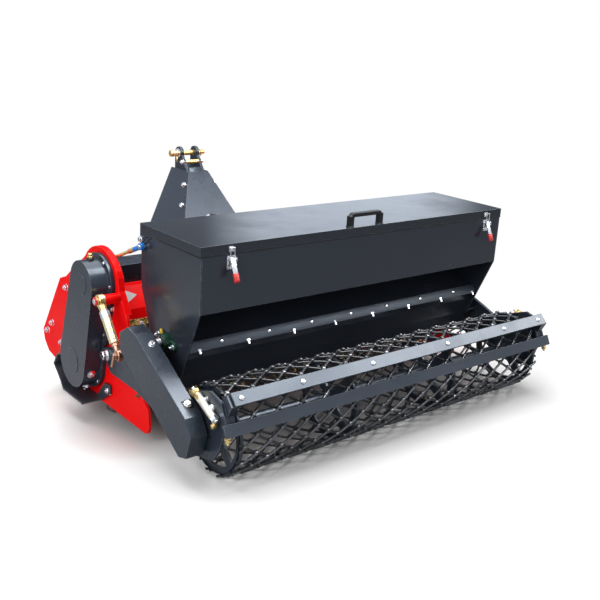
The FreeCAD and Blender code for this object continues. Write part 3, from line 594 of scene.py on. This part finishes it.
tine_steel, tree, shader, where = texture_base("tine_steel_polished")
bright = ramp(tree, reach_from(tree, where, ROTOR_Y, ROTOR_Z), 0.120, 0.165, 0.0, 1.0)
streaks = ramp(tree, noise(tree, where, 70.0, 5.0, 0.65), 0.30, 0.62, 0.35, 1.0)
bare = maths(tree, bright, streaks)
tree.links.new(blend_colour(tree, bare, (0.055, 0.058, 0.063), (0.44, 0.42, 0.40)), shader.inputs["Base Color"])
by_mask(tree, shader, bare, Roughness=(0.50, 0.30), Metallic=(0.1, 0.95))
bump(tree, shader, noise(tree, where, 240.0, 4.0, 0.6), 0.18, 0.0008)
fitted(settled(blades), "forged_tines", "rotor", tine_steel, replaces=("rotor_tines",))
bolted(settled(nuts), "tine_bolts", "rotor")

# ---------------------------------------------------------------- sieve comb
# A row of spring steel rods clamped in an angle bar behind the rotor. They hold the stones
# back and let the fine soil through. All of it is yellow passivated zinc.
dress(gold_zinc, "comb", edge=0.0006)
clamp_bolts = spread(hex_bolt(0.0075, 0.0),
                     *[((-0.5775 + 0.105 * i, 0.3300, 0.2910), UP, 13 * i) for i in range(12)])
bolted(clamp_bolts, "comb_clamp_bolts", "tiller")

# ---------------------------------------------------------------- packer roller
# Open mesh cage of hard drawn steel rods, wound both ways round end hoops and flattened
# where they are resistance welded. It turns on a shaft through four spoked discs. Rolling
# over stony soil has worn the paint off its outside and left it streaked steel.
CAGE_HALF, RODS = 0.603, 15
ROD_STEP, FIRST_ROD = 24, -5
FIRST_KNOT, KNOT_CLEAR = 0.428, 0.012
WIND = math.radians(298.5)
WIRE_R, HOOP_WIDE = 0.0037, 0.014


def cage_rod(radius):
    """One rod of the cage, wound along X: an eight-sided wire drawn through a screw."""
    bpy.ops.mesh.primitive_circle_add(vertices=8, radius=WIRE_R, location=(0, 0, radius),
                                      rotation=(0, math.pi / 2, 0))
    rod = fixed(bpy.context.object)
    rod.scale = (1, 1.18, 1)
    fixed(rod)
    wound = rod.modifiers.new("wound", "SCREW")
    wound.axis = "X"
    wound.angle = WIND * 2 * CAGE_HALF
    wound.screw_offset = 2 * CAGE_HALF
    wound.steps = 60
    wound.render_steps = 60
    wound.use_merge_vertices = False
    bpy.ops.object.modifier_apply(modifier="wound")
    bpy.ops.object.mode_set(mode="EDIT")
    bpy.ops.mesh.select_all(action="SELECT")
    bpy.ops.mesh.fill_holes(sides=8)
    bpy.ops.object.mode_set(mode="OBJECT")
    return outward(rod)


def around_roller(piece, along, turn):
    """Carries a piece modelled round the X axis to its place on the roller."""
    piece.matrix_world = (Matrix.Translation((along, ROLLER_Y, ROLLER_Z)) @ Matrix.Rotation(turn, 4, "X")
                          @ piece.matrix_world)
    return piece


cage = []
for radius, hand in ((0.1195, 1), (0.1245, -1)):
    model = cage_rod(radius)
    model.matrix_world = Matrix.Scale(hand, 4, (0, 1, 0))
    fixed(model)
    for k in range(RODS):
        start = math.radians(FIRST_ROD + ROD_STEP * k) + hand * WIND * (FIRST_KNOT - CAGE_HALF)
        cage.append(around_roller(twin(model), -CAGE_HALF, start))
    bpy.data.objects.remove(model)
knot = block((-0.0052, -0.0068, 0.1165), (0.0052, 0.0068, 0.1290))
rounded(knot, 0.0022, 1)
row_gap = math.radians(ROD_STEP / 2) / WIND
rows = (int((CAGE_HALF + FIRST_KNOT) / row_gap),
        int((CAGE_HALF - FIRST_KNOT + 2 * CAGE_HALF) / row_gap))
for row in range(-rows[0], rows[1] + 1):
    along = -FIRST_KNOT + row * row_gap
    if abs(along) > CAGE_HALF - KNOT_CLEAR:
        continue
    for k in range(RODS):
        half_step = ROD_STEP / 2 * (row % 2)
        cage.append(around_roller(twin(knot), along, math.radians(FIRST_ROD + ROD_STEP * k + half_step)))
bpy.data.objects.remove(knot)
for end in (-1, 1):
    hoop = ends_picked(turned(60, (0, 0.1150), (0, 0.1235), (HOOP_WIDE, 0.1235), (HOOP_WIDE, 0.1150)))
    bpy.ops.mesh.delete(type="FACE")
    bpy.ops.mesh.select_all(action="SELECT")
    bpy.ops.mesh.bridge_edge_loops()
    bpy.ops.object.mode_set(mode="OBJECT")
    aimed(outward(hoop), (0, 0, 0), RIGHT)
    cage.append(around_roller(hoop, CAGE_HALF - HOOP_WIDE if end > 0 else -CAGE_HALF, 0.0))

worn_steel, tree, shader, where = texture_base("cage_steel_worn")
outside = ramp(tree, reach_from(tree, where, ROLLER_Y, ROLLER_Z), 0.1225, 0.1280, 0.0, 1.0)
patches = ramp(tree, noise(tree, where, 16.0, 5.0, 0.65), 0.36, 0.60, 0.0, 1.0)
worn = maths(tree, outside, patches)
mottle = ramp(tree, noise(tree, where, 55.0, 4.0, 0.6), 0.35, 0.65, 0.0, 1.0)
paint = blend_colour(tree, mottle, (0.010, 0.011, 0.014), (0.020, 0.022, 0.027))
tree.links.new(blend_colour(tree, worn, paint, (0.22, 0.225, 0.24)), shader.inputs["Base Color"])
by_mask(tree, shader, worn, Roughness=(0.28, 0.22), Metallic=(0.05, 0.80))
bump(tree, shader, noise(tree, where, 380.0, 3.0, 0.6), 0.15, 0.0005)
fitted(settled(cage), "roller_mesh_cage", "roller", worn_steel, smooth=50,
       replaces=("roller_cage",))
dress(grey_enamel, "roller_discs", "roller_shaft")

# ---------------------------------------------------------------- roller arms and brackets
# Cut steel arms swing the roller about the side plates. A second plate at the rear takes
# the roller's bearing and the two cross bars, with a bolt through both.
dress(grey_enamel, "roller_arms", "end_brackets")
dress(grey_enamel, "drive_cover", edge=0.0022)
dress(bright_zinc, "frame_pins", edge=0.0008)
pivot_bolt = joined(turned(28, (0, 0.0205), (0.003, 0.0205), (0.0036, 0.0195)),
                    aimed(hex_bolt(0.0150, 0.0), (0, 0, 0.0036), UP, 8))
bolted(both_sides(aimed(pivot_bolt, (-0.6512, 0.405, 0.184), LEFT)), "arm_pivot_bolts", "roller_frame")
arm_nuts = spread(turned(20, (0, 0.0105), (0.0030, 0.0104), (0.0065, 0.0080), (0.0082, 0.0040)),
                  ((-0.6412, -0.143, 0.224), LEFT, 12))
small_nuts = spread(hex_bolt(0.0055, 0.002), ((-0.6412, -0.118, 0.239), LEFT, 30))
bolted(both_sides(joined(arm_nuts, small_nuts)), "bracket_bolts", "roller_frame")
cover_screws = spread(hex_bolt(0.0088, 0.0), ((-0.6720, 0.1040, 0.3170), (0, -0.49, 0.87), 15),
                      ((-0.6720, -0.0770, 0.2160), (0, -0.49, 0.87), 30))
bolted(cover_screws, "drive_cover_screws", "roller_frame")
square_washer = rounded(block((-0.0125, -0.0125, -0.0004), (0.0125, 0.0125, 0.0014)), 0.0005)
fitted(aimed(square_washer, (-0.6720, -0.076, 0.2148), (0, -0.49, 0.87)), "cover_square_washer", "roller_frame",
       black_plastic)

# ---------------------------------------------------------------- cross bars
# A heavy folded angle ties the brackets together above the roller, with six bolts for the
# scraper springs. The narrower bar below it carries the scraper edge just off the mesh.
dress(grey_enamel, "upper_bar")
# A lighter copy of the grey enamel: the scraper bar and gate strip are painted lighter to stand in for the
# light their faces catch.
strip_enamel_painted_lighter = enamel("strip_enamel_painted_lighter", (0.055, 0.066, 0.086), (0.064, 0.076, 0.098), (0.30, 0.33, 0.38), 0.40,
                      peel=0.02, gloss=0.28, sheen=(0.78, 0.88, 1.0))
dress(strip_enamel_painted_lighter, "scraper_bar")
bar_slope = Vector((0, -0.026, 0.025)).normalized()
bar_bolts = turned(18, (0, 0.0078), (0.0018, 0.0076), (0.0038, 0.0058), (0.0048, 0.0028))
bar_bolts = spread(bar_bolts, *[((x, -0.2066, 0.2660), bar_slope, 17 * i) for i, x in
                                enumerate((-0.599, -0.404, -0.154, 0.152, 0.416, 0.591))])
bolted(bar_bolts, "bar_bolts", "roller_frame")

# ---------------------------------------------------------------- scraper adjusters
# A threaded stud in a pale tube at each end draws the scraper towards the mesh. Brass
# coloured nuts lock it, and it bears on a small folded bracket on the roller's plate.
near, far = Vector((-0.6510, -0.072, 0.249)), Vector((-0.6510, -0.178, 0.201))
run = (far - near).normalized()
cream_zinc = plating("cream_zinc", (0.86, 0.82, 0.70), (0.76, 0.70, 0.56), 0.34, metallic=0.55)
tube = aimed(turned(24, (0.016, 0.0085), (0.018, 0.0100), (0.098, 0.0100), (0.100, 0.0085)), near, run)
fitted(both_sides(tube), "adjuster_tubes", "roller_frame", cream_zinc, replaces=("scraper_adjusters",))
cheek_low = block((-0.6610, -0.106, 0.2360), (-0.6410, -0.064, 0.2385))
cheek_high = block((-0.6610, -0.106, 0.2360), (-0.6585, -0.064, 0.2500))
side_nut = turned(6, (0, 0.0090), (0.0065, 0.0090), (0.0075, 0.0075))
brass_bits = joined(
    aimed(side_nut, near + run * 0.106 + Vector((-0.004, 0, -0.015)), run, 10),
    aimed(turned(6, (0, 0.0105), (0.009, 0.0105), (0.010, 0.0088)), near + run * 0.004, run, 25),
    rounded(cheek_low, 0.0008), rounded(cheek_high, 0.0008))
fitted(both_sides(brass_bits), "adjuster_nuts_and_brackets", "roller_frame", gold_zinc)
end_nut = joined(turned(6, (0, 0.0122), (0.0100, 0.0122), (0.0112, 0.0105)),
                 turned(14, (0.0105, 0.0060), (0.0150, 0.0060), (0.0160, 0.0048)))
end_nut = aimed(end_nut, near + run * 0.1005, run, 20)
stud = aimed(turned(14, (-0.006, 0.0050), (0.018, 0.0050)), near, run)
bolted(both_sides(joined(end_nut, stud)), "adjuster_end_nuts", "roller_frame")
edge_nuts = joined(turned(6, (0, 0.0088), (0.0065, 0.0088), (0.0075, 0.0072)),
                   turned(6, (0.0085, 0.0078), (0.0140, 0.0078), (0.0150, 0.0062)),
                   turned(12, (-0.004, 0.0040), (0.020, 0.0040), (0.021, 0.0030)))
fitted(both_sides(aimed(edge_nuts, (-0.6400, -0.2085, 0.170), (0, -0.30, -0.95), 15)), "scraper_edge_nuts",
       "roller_frame", gold_zinc)

# ---------------------------------------------------------------- turnbuckles
# Screwed links set the depth of the roller. The upper eye is a casting on a pin with a red
# cap, the tube is pale yellow zinc with a hexagon for the spanner, and the lower end is a
# forged eye with a short lever that locks the thread.
TURN_X, TOP, LOW = 0.694, Vector((0, 0.354, 0.372)), Vector((0, 0.247, 0.242))
TOP_EYE, LOW_EYE = Vector((-TURN_X, 0, 0)) + TOP, Vector((-TURN_X, 0, 0)) + LOW
link = (LOW - TOP).normalized()
link_turn = link.to_track_quat("Z", "Y").to_matrix().to_4x4()


def on_link(piece, along):
    """Sets a piece raised along Z on the left link, measured from its upper eye."""
    piece.matrix_world = Matrix.Translation(TOP_EYE + link * along) @ link_turn
    return fixed(piece)


def eye_ring(at, outer, inner, half):
    """A flat eye round a cross pin."""
    chamfer = 0.0012
    ring = ends_picked(turned(32, (-half, outer - chamfer), (chamfer - half, outer), (half - chamfer, outer),
                              (half, outer - chamfer)))
    bpy.ops.mesh.inset(thickness=outer - chamfer - inner, use_boundary=True)
    bpy.ops.mesh.delete(type="FACE")
    bpy.ops.mesh.select_all(action="DESELECT")
    bpy.ops.mesh.select_non_manifold()
    bpy.ops.mesh.bridge_edge_loops()
    bpy.ops.object.mode_set(mode="OBJECT")
    return aimed(outward(ring), at, RIGHT)


link_zinc = plating("pale_yellow_zinc", (0.84, 0.72, 0.46), (0.76, 0.60, 0.32), 0.26, metallic=0.85)
casting = joined(eye_ring(TOP_EYE, 0.0180, 0.0082, 0.009),
                 on_link(turned(24, (0.0160, 0.0125), (0.0300, 0.0110), (0.0340, 0.0118)), 0))
hexes = on_link(turned(6, (0.0335, 0.0140), (0.0480, 0.0140), (0.0490, 0.0125)), 0)
barrel = on_link(turned(28, (0.0540, 0.0136), (0.1300, 0.0136), (0.1310, 0.0120)), 0)
collar = on_link(turned(28, (0.0488, 0.0146), (0.0545, 0.0146)), 0)
copper_zinc = plating("copper_tinted_steel", (0.62, 0.36, 0.24), (0.50, 0.30, 0.22), 0.30)
low_eye = joined(eye_ring(LOW_EYE, 0.0160, 0.0094, 0.008),
                 on_link(turned(20, (0.1280, 0.0070), (0.1530, 0.0070)), 0),
                 on_link(turned(6, (0.1330, 0.0105), (0.1400, 0.0105), (0.1408, 0.0090)), 0))


def pair_up(piece, name, body, material, replaces=None):
    """Fits a left-hand piece and its mirror image, each riding its own side's link."""
    for side, made in (("_right", mirrored(piece)), ("_left", piece)):
        fitted(made, name + side, body + side, material,
               replaces=(replaces + side,) if replaces else ())


pair_up(casting, "link_eye_casting", "turnbuckle", gold_zinc, replaces="turnbuckle_sleeve")
pair_up(joined(hexes, collar), "link_hexagon", "turnbuckle", bright_zinc)
pair_up(barrel, "link_tube", "turnbuckle", link_zinc)
pair_up(low_eye, "link_lower_eye", "turnbuckle_end", copper_zinc, replaces="turnbuckle_rod")
red_plastic = enamel("red_plastic", (0.72, 0.016, 0.014), (0.62, 0.014, 0.013), (0.80, 0.10, 0.08), 0.40,
                     peel=0.1)
cap = aimed(turned(24, (0, 0.0120), (0.0036, 0.0120), (0.0054, 0.0095)),
            Vector((-TURN_X - 0.0143, 0, 0)) + TOP, LEFT)
fitted(both_sides(cap), "link_pin_caps", "tiller", red_plastic)
top_cotter = aimed(linch_pin(0.0085), Vector((-TURN_X - 0.0120, 0, 0)) + TOP, (0, 0.3, 1), 90)
fitted(both_sides(top_cotter), "link_pin_clips", "tiller", gold_zinc)
lever = aimed(turned(14, (-0.004, 0.0042), (0.040, 0.0034), (0.041, 0.0022)),
              (-0.7080, 0.2470, 0.2450), (0, 0.35, -0.94))
lever_hub = aimed(turned(20, (0, 0.0095), (0.0040, 0.0095), (0.0048, 0.0082)),
                  Vector((-TURN_X - 0.0092, 0, 0)) + LOW, LEFT)
fitted(both_sides(joined(lever, lever_hub)), "link_lock_levers", "roller_frame", copper_zinc)

# ---------------------------------------------------------------- seed hopper
# Folded 3 mm sheet trough between two end plates, in the grey enamel. A bolted strip at its
# foot sets the seed gate; the metering shaft turns below in green cast flange bearings.
sheet_enamel = enamel("anthracite_sheet", (0.025, 0.030, 0.042), (0.029, 0.035, 0.048),
                      (0.30, 0.33, 0.38), 0.21, peel=0.02, gloss=0.48, sheen=(0.78, 0.88, 1.0))
dress(sheet_enamel, "hopper_ends", "hopper_rear_wall", "hopper_front_wall", "metering_floor", edge=0.0007)
GATE_HALF = 0.5880
# The gate strip takes the lighter strip enamel, its lightness a painted stand-in for the light on its sloped
# face.
gate = rounded(block((-GATE_HALF, -0.0025, -0.0150), (GATE_HALF, 0.0, 0.0150)), 0.0006)
gate_turn = Matrix.Translation((0, 0.0690, 0.3000)) @ Matrix.Rotation(math.radians(-37), 4, "X")
gate.matrix_world = gate_turn
fitted(gate, "gate_strip", "roller_frame", strip_enamel_painted_lighter, replaces=("metering_strip",))
gate_out = gate_turn.to_3x3() @ Vector((0, -1, 0))
strip_bolts = joined(turned(6, (0, 0.0062), (0.0042, 0.0062), (0.0050, 0.0052)),
                     turned(12, (0.0048, 0.0034), (0.0130, 0.0034), (0.0136, 0.0026)))
strip_bolts = spread(strip_bolts, *[((x, 0.0630, 0.2930), (0, -0.62, -0.78), 19 * i) for i, x in
                                    enumerate((-0.550, -0.388, -0.224, -0.064, 0.093, 0.252, 0.409, 0.571))])
strip_heads = spread(turned(18, (0, 0.0062), (0.0015, 0.0060), (0.0030, 0.0045), (0.0038, 0.0020)),
                     *[(Vector((x, 0.0700, 0.3020)) + gate_out * 0.0022, gate_out, 0) for x in
                       (-0.474, -0.310, -0.151, 0.006, 0.160, 0.315, 0.478)])
bolted(joined(strip_bolts, strip_heads), "gate_strip_bolts", "roller_frame")
wall_bolts = spread(turned(14, (0, 0.0040), (0.0014, 0.0040), (0.0020, 0.0030)),
                    *[((x, 0.0795, 0.3867), (0, -0.335, -0.942), 0)
                      for x in (-0.34, -0.19, -0.037, 0.106, 0.259, 0.418)])
bolted(wall_bolts, "slide_screws", "roller_frame")
dress(bare_steel, "metering_shaft", edge=0.001)
cast_green = enamel("cast_green", (0.004, 0.040, 0.022), (0.006, 0.055, 0.030), (0.06, 0.20, 0.10), 0.36,
                    peel=0.30)
dress(cast_green, "flange_bearings", edge=0.003)
bearing_bolts = spread(hex_bolt(0.0070, 0.004), ((-0.6005, 0.193, 0.307), LEFT, 10),
                       ((-0.6005, 0.117, 0.291), LEFT, 35))
bolted(both_sides(bearing_bolts), "seed_bearing_bolts", "roller_frame")
race = turned(28, (0, 0.0165), (0.0015, 0.0165), (0.0025, 0.0135))
bolted(both_sides(aimed(race, (-0.6158, 0.155, 0.299), LEFT)), "seed_bearing_races", "roller_frame")
grease_cap = turned(14, (0, 0.0048), (0.007, 0.0048), (0.009, 0.0036), (0.0125, 0.0030))
yellow_plastic = enamel("yellow_plastic", (0.80, 0.52, 0.03), (0.72, 0.44, 0.03), (0.85, 0.65, 0.2), 0.42,
                        peel=0.1)
fitted(both_sides(aimed(grease_cap, (-0.6080, 0.163, 0.3195), (0, 0.36, 0.93))), "grease_nipple_caps",
       "roller_frame", yellow_plastic)

# ---------------------------------------------------------------- lid
# One folded sheet tray with a turned-down lip all round, hinged on two pinned ears at the
# front corners. The corner ear has a drain hole and a bright bolt below it.
# The pale bluish edge colour is partly knocked paint and partly a painted highlight along the lid's edges.
lid_enamel = enamel("anthracite_lid", (0.017, 0.022, 0.031), (0.021, 0.027, 0.037), (0.34, 0.37, 0.43),
                    0.12, peel=0.008, sheen=(0.84, 0.91, 1.0))
dress(lid_enamel, "lid", edge=0.0012)
hinge_bolts = joined(aimed(turned(20, (0, 0.0098), (0.0020, 0.0098), (0.0026, 0.0088)),
                           (-0.5952, 0.300, 0.552), LEFT),
                     aimed(hex_bolt(0.0078, 0.0, washer=False), (-0.5976, 0.300, 0.552), LEFT, 20))
bolted(both_sides(hinge_bolts), "lid_hinge_bolts", "lid")
# A thin black disc on each ear stands for the drain hole: its darkness is painted shade.
drain_hole_painted_dark = aimed(turned(20, (0, 0.0042), (0.0004, 0.0042)), (-0.5950, 0.287, 0.586), LEFT)
fitted(both_sides(drain_hole_painted_dark), "lid_drain_holes_painted_dark", "lid", black_plastic)

# A thin black strip on the hopper's rim paints the shadow line under the lid's lip.
shadow_strip_end = rounded(block((-0.5956, -0.0006, 0.5680), (-0.5942, 0.2360, 0.5706)), 0.0003)
shadow_strip_rear = rounded(block((-0.5956, -0.0006, 0.5680), (0.5956, 0.0008, 0.5706)), 0.0003)
fitted(joined(shadow_strip_rear, both_sides(shadow_strip_end)), "lid_lip_painted_shadow_strip", "roller_frame", black_plastic)

# A black moulded bridge handle, screwed down through a foot at each end.
grip = block((-0.082, 0.0070, 0.6250), (0.050, 0.0230, 0.6370), ((-0.070, 0, 0.6370), (-0.75, 0, 0.66)),
             ((0.038, 0, 0.6370), (0.75, 0, 0.66)))
legs = [block((x - 0.0085, 0.0070, 0.5970), (x + 0.0085, 0.0230, 0.6290)) for x in (-0.0740, 0.0420)]
feet = [block((x - 0.0092, 0.0062, 0.5970), (x + 0.0092, 0.0238, 0.5990)) for x in (-0.0740, 0.0420)]
bridge = joined(grip, *legs)
united = bridge.modifiers.new("one", "REMESH")
united.mode = "VOXEL"
united.voxel_size = 0.0016
pick(bridge)
bpy.ops.object.modifier_apply(modifier="one")
eased = bridge.modifiers.new("soft", "SMOOTH")
eased.iterations = 3
bpy.ops.object.modifier_apply(modifier="soft")
fitted(joined(bridge, *[rounded(foot, 0.0014) for foot in feet]), "bridge_handle", "lid", black_plastic,
       smooth=60, replaces=("lid_handle",))

# ---------------------------------------------------------------- toggle latches
# Pressed bright steel over-centre latches: a riveted base, a lever with a red dipped grip
# and a wire loop that hooks over a catch on the lid's lip.
AXLE, LEVER_LEAN = Vector((0, -0.008, 0.556)), math.radians(-24)
for name, latch_x, catch_x in (("left", -0.500, -0.500), ("right", 0.522, 0.516)):
    base = rounded(block((-0.0135, -0.0028, 0.5290), (0.0135, 0.0, 0.5660)), 0.0010)
    cheek = block((-0.0105, -0.0140, 0.5430), (-0.0090, -0.0015, 0.5620),
                  ((0, -0.0140, 0.5500), (0, -0.80, -0.60)))
    cheeks = joined(twin(cheek), aimed(cheek, (0.0195, 0, 0)))
    rivets = spread(turned(12, (0, 0.0026), (0.0010, 0.0024), (0.0018, 0.0012)),
                    *[((x, -0.0028, 0.5345), BACK, 0) for x in (-0.0075, 0.0075)])
    axle = aimed(turned(12, (-0.0125, 0.0028), (0.0125, 0.0028)), (0, -0.0085, 0.5560), RIGHT)
    loop = [aimed(turned(8, (0, 0.0013), (0.0330, 0.0013)), (x, -0.0080, 0.5540), (0, 0.04, 1))
            for x in (-0.0065, 0.0065)]
    loop.append(aimed(turned(8, (-0.0078, 0.0013), (0.0078, 0.0013)), (0, -0.0067, 0.5870), RIGHT))
    lean = Matrix.Translation(AXLE) @ Matrix.Rotation(LEVER_LEAN, 4, "X") @ Matrix.Translation(-AXLE)
    lever = rounded(block((-0.0075, -0.0095, 0.5120), (0.0075, -0.0065, 0.5600)), 0.0010)
    tongue = rounded(block((-0.0078, -0.0115, 0.4950), (0.0078, -0.0050, 0.5200),
                           ((0, -0.0115, 0.4990), (0, -0.7, -0.7))), 0.0018)
    metal = joined(base, cheeks, rivets, axle, *loop)
    for moving in (lever, tongue):
        moving.matrix_world = lean @ moving.matrix_world
        fixed(moving)
    fitted(aimed(joined(metal, lever), (latch_x, 0, 0)), "toggle_latch_" + name, "roller_frame", bright_zinc,
           replaces=("latches",))
    fitted(aimed(tongue, (latch_x, 0, 0)), "latch_grip_" + name, "roller_frame", red_plastic)
    hook = joined(rounded(block((-0.0080, -0.0020, 0.5760), (0.0080, 0.0, 0.5900)), 0.0006),
                  rounded(block((-0.0045, -0.0058, 0.5780), (0.0045, -0.0010, 0.5800)), 0.0005),
                  rounded(block((-0.0045, -0.0058, 0.5780), (0.0045, -0.0046, 0.5860)), 0.0004))
    fitted(aimed(hook, (catch_x, 0, 0)), "latch_hook_" + name, "lid", bright_zinc,
           replaces=("latch_catches",))

# ---------------------------------------------------------------- hopper stays
# Two-piece rigid stays brace the hopper from the main beam: a blue sprayed sleeve over a
# yellow zinc rod, each with a pinned eye.
PAINT_ENDS, PAINT_BLUR = 0.041, 0.0003
stay_finish, tree, shader, where = texture_base("stay_blue_and_zinc")
zinc_part = ramp(tree, reach_from(tree, where, 0.278, 0.537),
                 PAINT_ENDS - PAINT_BLUR, PAINT_ENDS + PAINT_BLUR, 0.0, 1.0)
mottle = ramp(tree, noise(tree, where, 35.0, 4.0, 0.6), 0.35, 0.65, 0.0, 0.5)
tree.links.new(blend_colour(tree, zinc_part,
                            blend_colour(tree, mottle, (0.008, 0.165, 0.58), (0.010, 0.185, 0.62)),
                            blend_colour(tree, mottle, (0.80, 0.57, 0.22), (0.88, 0.72, 0.36))),
               shader.inputs["Base Color"])
tree.links.new(ramp(tree, mottle, 0.0, 0.5, 0.24, 0.32), shader.inputs["Roughness"])
by_mask(tree, shader, zinc_part, Metallic=(0.0, 0.85))
bump(tree, shader, noise(tree, where, 300.0, 2.0, 0.5), 0.05, 0.0004)
dress(stay_finish, "stay_sleeve_left", "stay_sleeve_right", edge=0.001)
dress(gold_zinc, "stay_rod_left", "stay_rod_right", edge=0.001)
dress(bright_zinc, "stay_pins", "link_pins", edge=0.0006)

# ---------------------------------------------------------------- studio
# A pale floor and soft lamps. Seen straight by the camera the floor and the room are
# white, but for a painted shadow that darkens the floor under the machine; as light they
# stay at a plain level. A bright patch of the room and the two reflector lamps show in
# glossy surfaces only.
bpy.ops.mesh.primitive_plane_add(size=60, location=(0, 0, 0))
floor = bpy.context.object
floor.name = "studio_floor"
paper, tree, shader, where = texture_base("studio_paper")
shader.inputs["Roughness"].default_value = 0.9
shader.inputs["Specular IOR Level"].default_value = 0.0
seen = tree.nodes.new("ShaderNodeLightPath").outputs["Is Camera Ray"]
# Painted shadow: the floor seen by the camera is coloured darker in an ellipse under the machine.
painted_shadow_under_machine = ramp(tree, span(tree, where, (0, 0.12, 0), (1.25, 2.4, 0)), 0.70, 1.05, 0.0, 1.0)
floor_with_painted_shadow = blend_colour(tree, painted_shadow_under_machine, (0.38, 0.38, 0.39), (0.97, 0.97, 0.97))
tree.links.new(blend_colour(tree, seen, (0.48, 0.48, 0.49), floor_with_painted_shadow), shader.inputs["Base Color"])
lit = maths(tree, ramp(tree, span(tree, where), 0.72, 1.9, 0.0, 1.0), seen)
glow = tree.nodes.new("ShaderNodeEmission")
fade = tree.nodes.new("ShaderNodeMixShader")
tree.links.new(lit, fade.inputs[0])
tree.links.new(shader.outputs["BSDF"], fade.inputs[1])
tree.links.new(glow.outputs["Emission"], fade.inputs[2])
surface = [node for node in tree.nodes if node.type == "OUTPUT_MATERIAL"][0].inputs["Surface"]
tree.links.new(fade.outputs["Shader"], surface)
floor.data.materials.append(paper)

PATCH_TOWARDS, PLAIN_LEVEL = (0.661, 0.699, 0.274), 0.42
world = bpy.data.worlds.new("studio")
world.use_nodes = True
bpy.context.scene.world = world
sky = world.node_tree
backdrop = sky.nodes["Background"]
ray = sky.nodes.new("ShaderNodeLightPath")
tint = blend_colour(sky, ray.outputs["Is Glossy Ray"], (1.0, 1.0, 1.0), (0.80, 0.88, 1.0))
sky.links.new(tint, backdrop.inputs["Color"])
seen = maths(sky, ray.outputs["Is Camera Ray"], ray.outputs["Is Glossy Ray"], "MAXIMUM")
look = sky.nodes.new("ShaderNodeTexCoord")
panel = sky.nodes.new("ShaderNodeVectorMath")
panel.operation = "DOT_PRODUCT"
panel.inputs[1].default_value = PATCH_TOWARDS
sky.links.new(look.outputs["Generated"], panel.inputs[0])
lobe = ramp(sky, panel.outputs["Value"], 0.988, 0.9960, 0.22, 1.68)
beyond = ramp(sky, panel.outputs["Value"], 0.70, 0.93, 0.9, 0.0)
bright = maths(sky, maths(sky, lobe, beyond, "MAXIMUM"), ray.outputs["Is Camera Ray"], "MAXIMUM")
level = sky.nodes.new("ShaderNodeMix")
sky.links.new(seen, level.inputs["Factor"])
level.inputs[2].default_value = PLAIN_LEVEL
sky.links.new(bright, level.inputs[3])
sky.links.new(level.outputs[0], backdrop.inputs["Strength"])


def softbox(name, at, aim, size, power):
    lamp = bpy.data.lights.new(name, "AREA")
    lamp.shape = "RECTANGLE"
    lamp.size, lamp.size_y = size
    lamp.energy = power
    holder = bpy.data.objects.new(name, lamp)
    bpy.context.scene.collection.objects.link(holder)
    holder.location = at
    holder.rotation_euler = (Vector(aim) - Vector(at)).to_track_quat("-Z", "Y").to_euler()
    return holder


softbox("overhead", (0.1, 0.4, 3.2), (0.1, 0.4, 0), (3.4, 3.2), 130)
softbox("left_fill", (-3.2, -1.2, 1.8), (-0.4, 0, 0.2), (2.2, 1.8), 56)
card = softbox("ceiling_card", (2.5, -2.05, 2.2), (2.5, -2.05, 0), (4.4, 1.3), 200)
card.visible_diffuse = False
near_card = softbox("near_card", (0.1, -1.0, 2.2), (0.1, -1.0, 0), (1.4, 1.1), 75)
near_card.visible_diffuse = False

# ---------------------------------------------------------------- camera
cam_data = bpy.data.cameras.new("camera")
cam = bpy.data.objects.new("camera", cam_data)
bpy.context.scene.collection.objects.link(cam)
bpy.context.scene.camera = cam
cam_data.sensor_width = 36
cam_data.lens = 52.54
az, el, roll = math.radians(-39.9669), math.radians(17.536), math.radians(3.4654)
back = Vector((math.sin(az) * math.cos(el), -math.cos(az) * math.cos(el), math.sin(el)))
level_turn = (-back).to_track_quat("-Z", "Y").to_matrix().to_4x4() @ Matrix.Rotation(roll, 4, "Z")
cam.matrix_world = STAND @ Matrix.Translation(Vector((-1.7681, -1.8014, 1.1496))) @ level_turn
bpy.context.scene.view_settings.view_transform = "Standard"
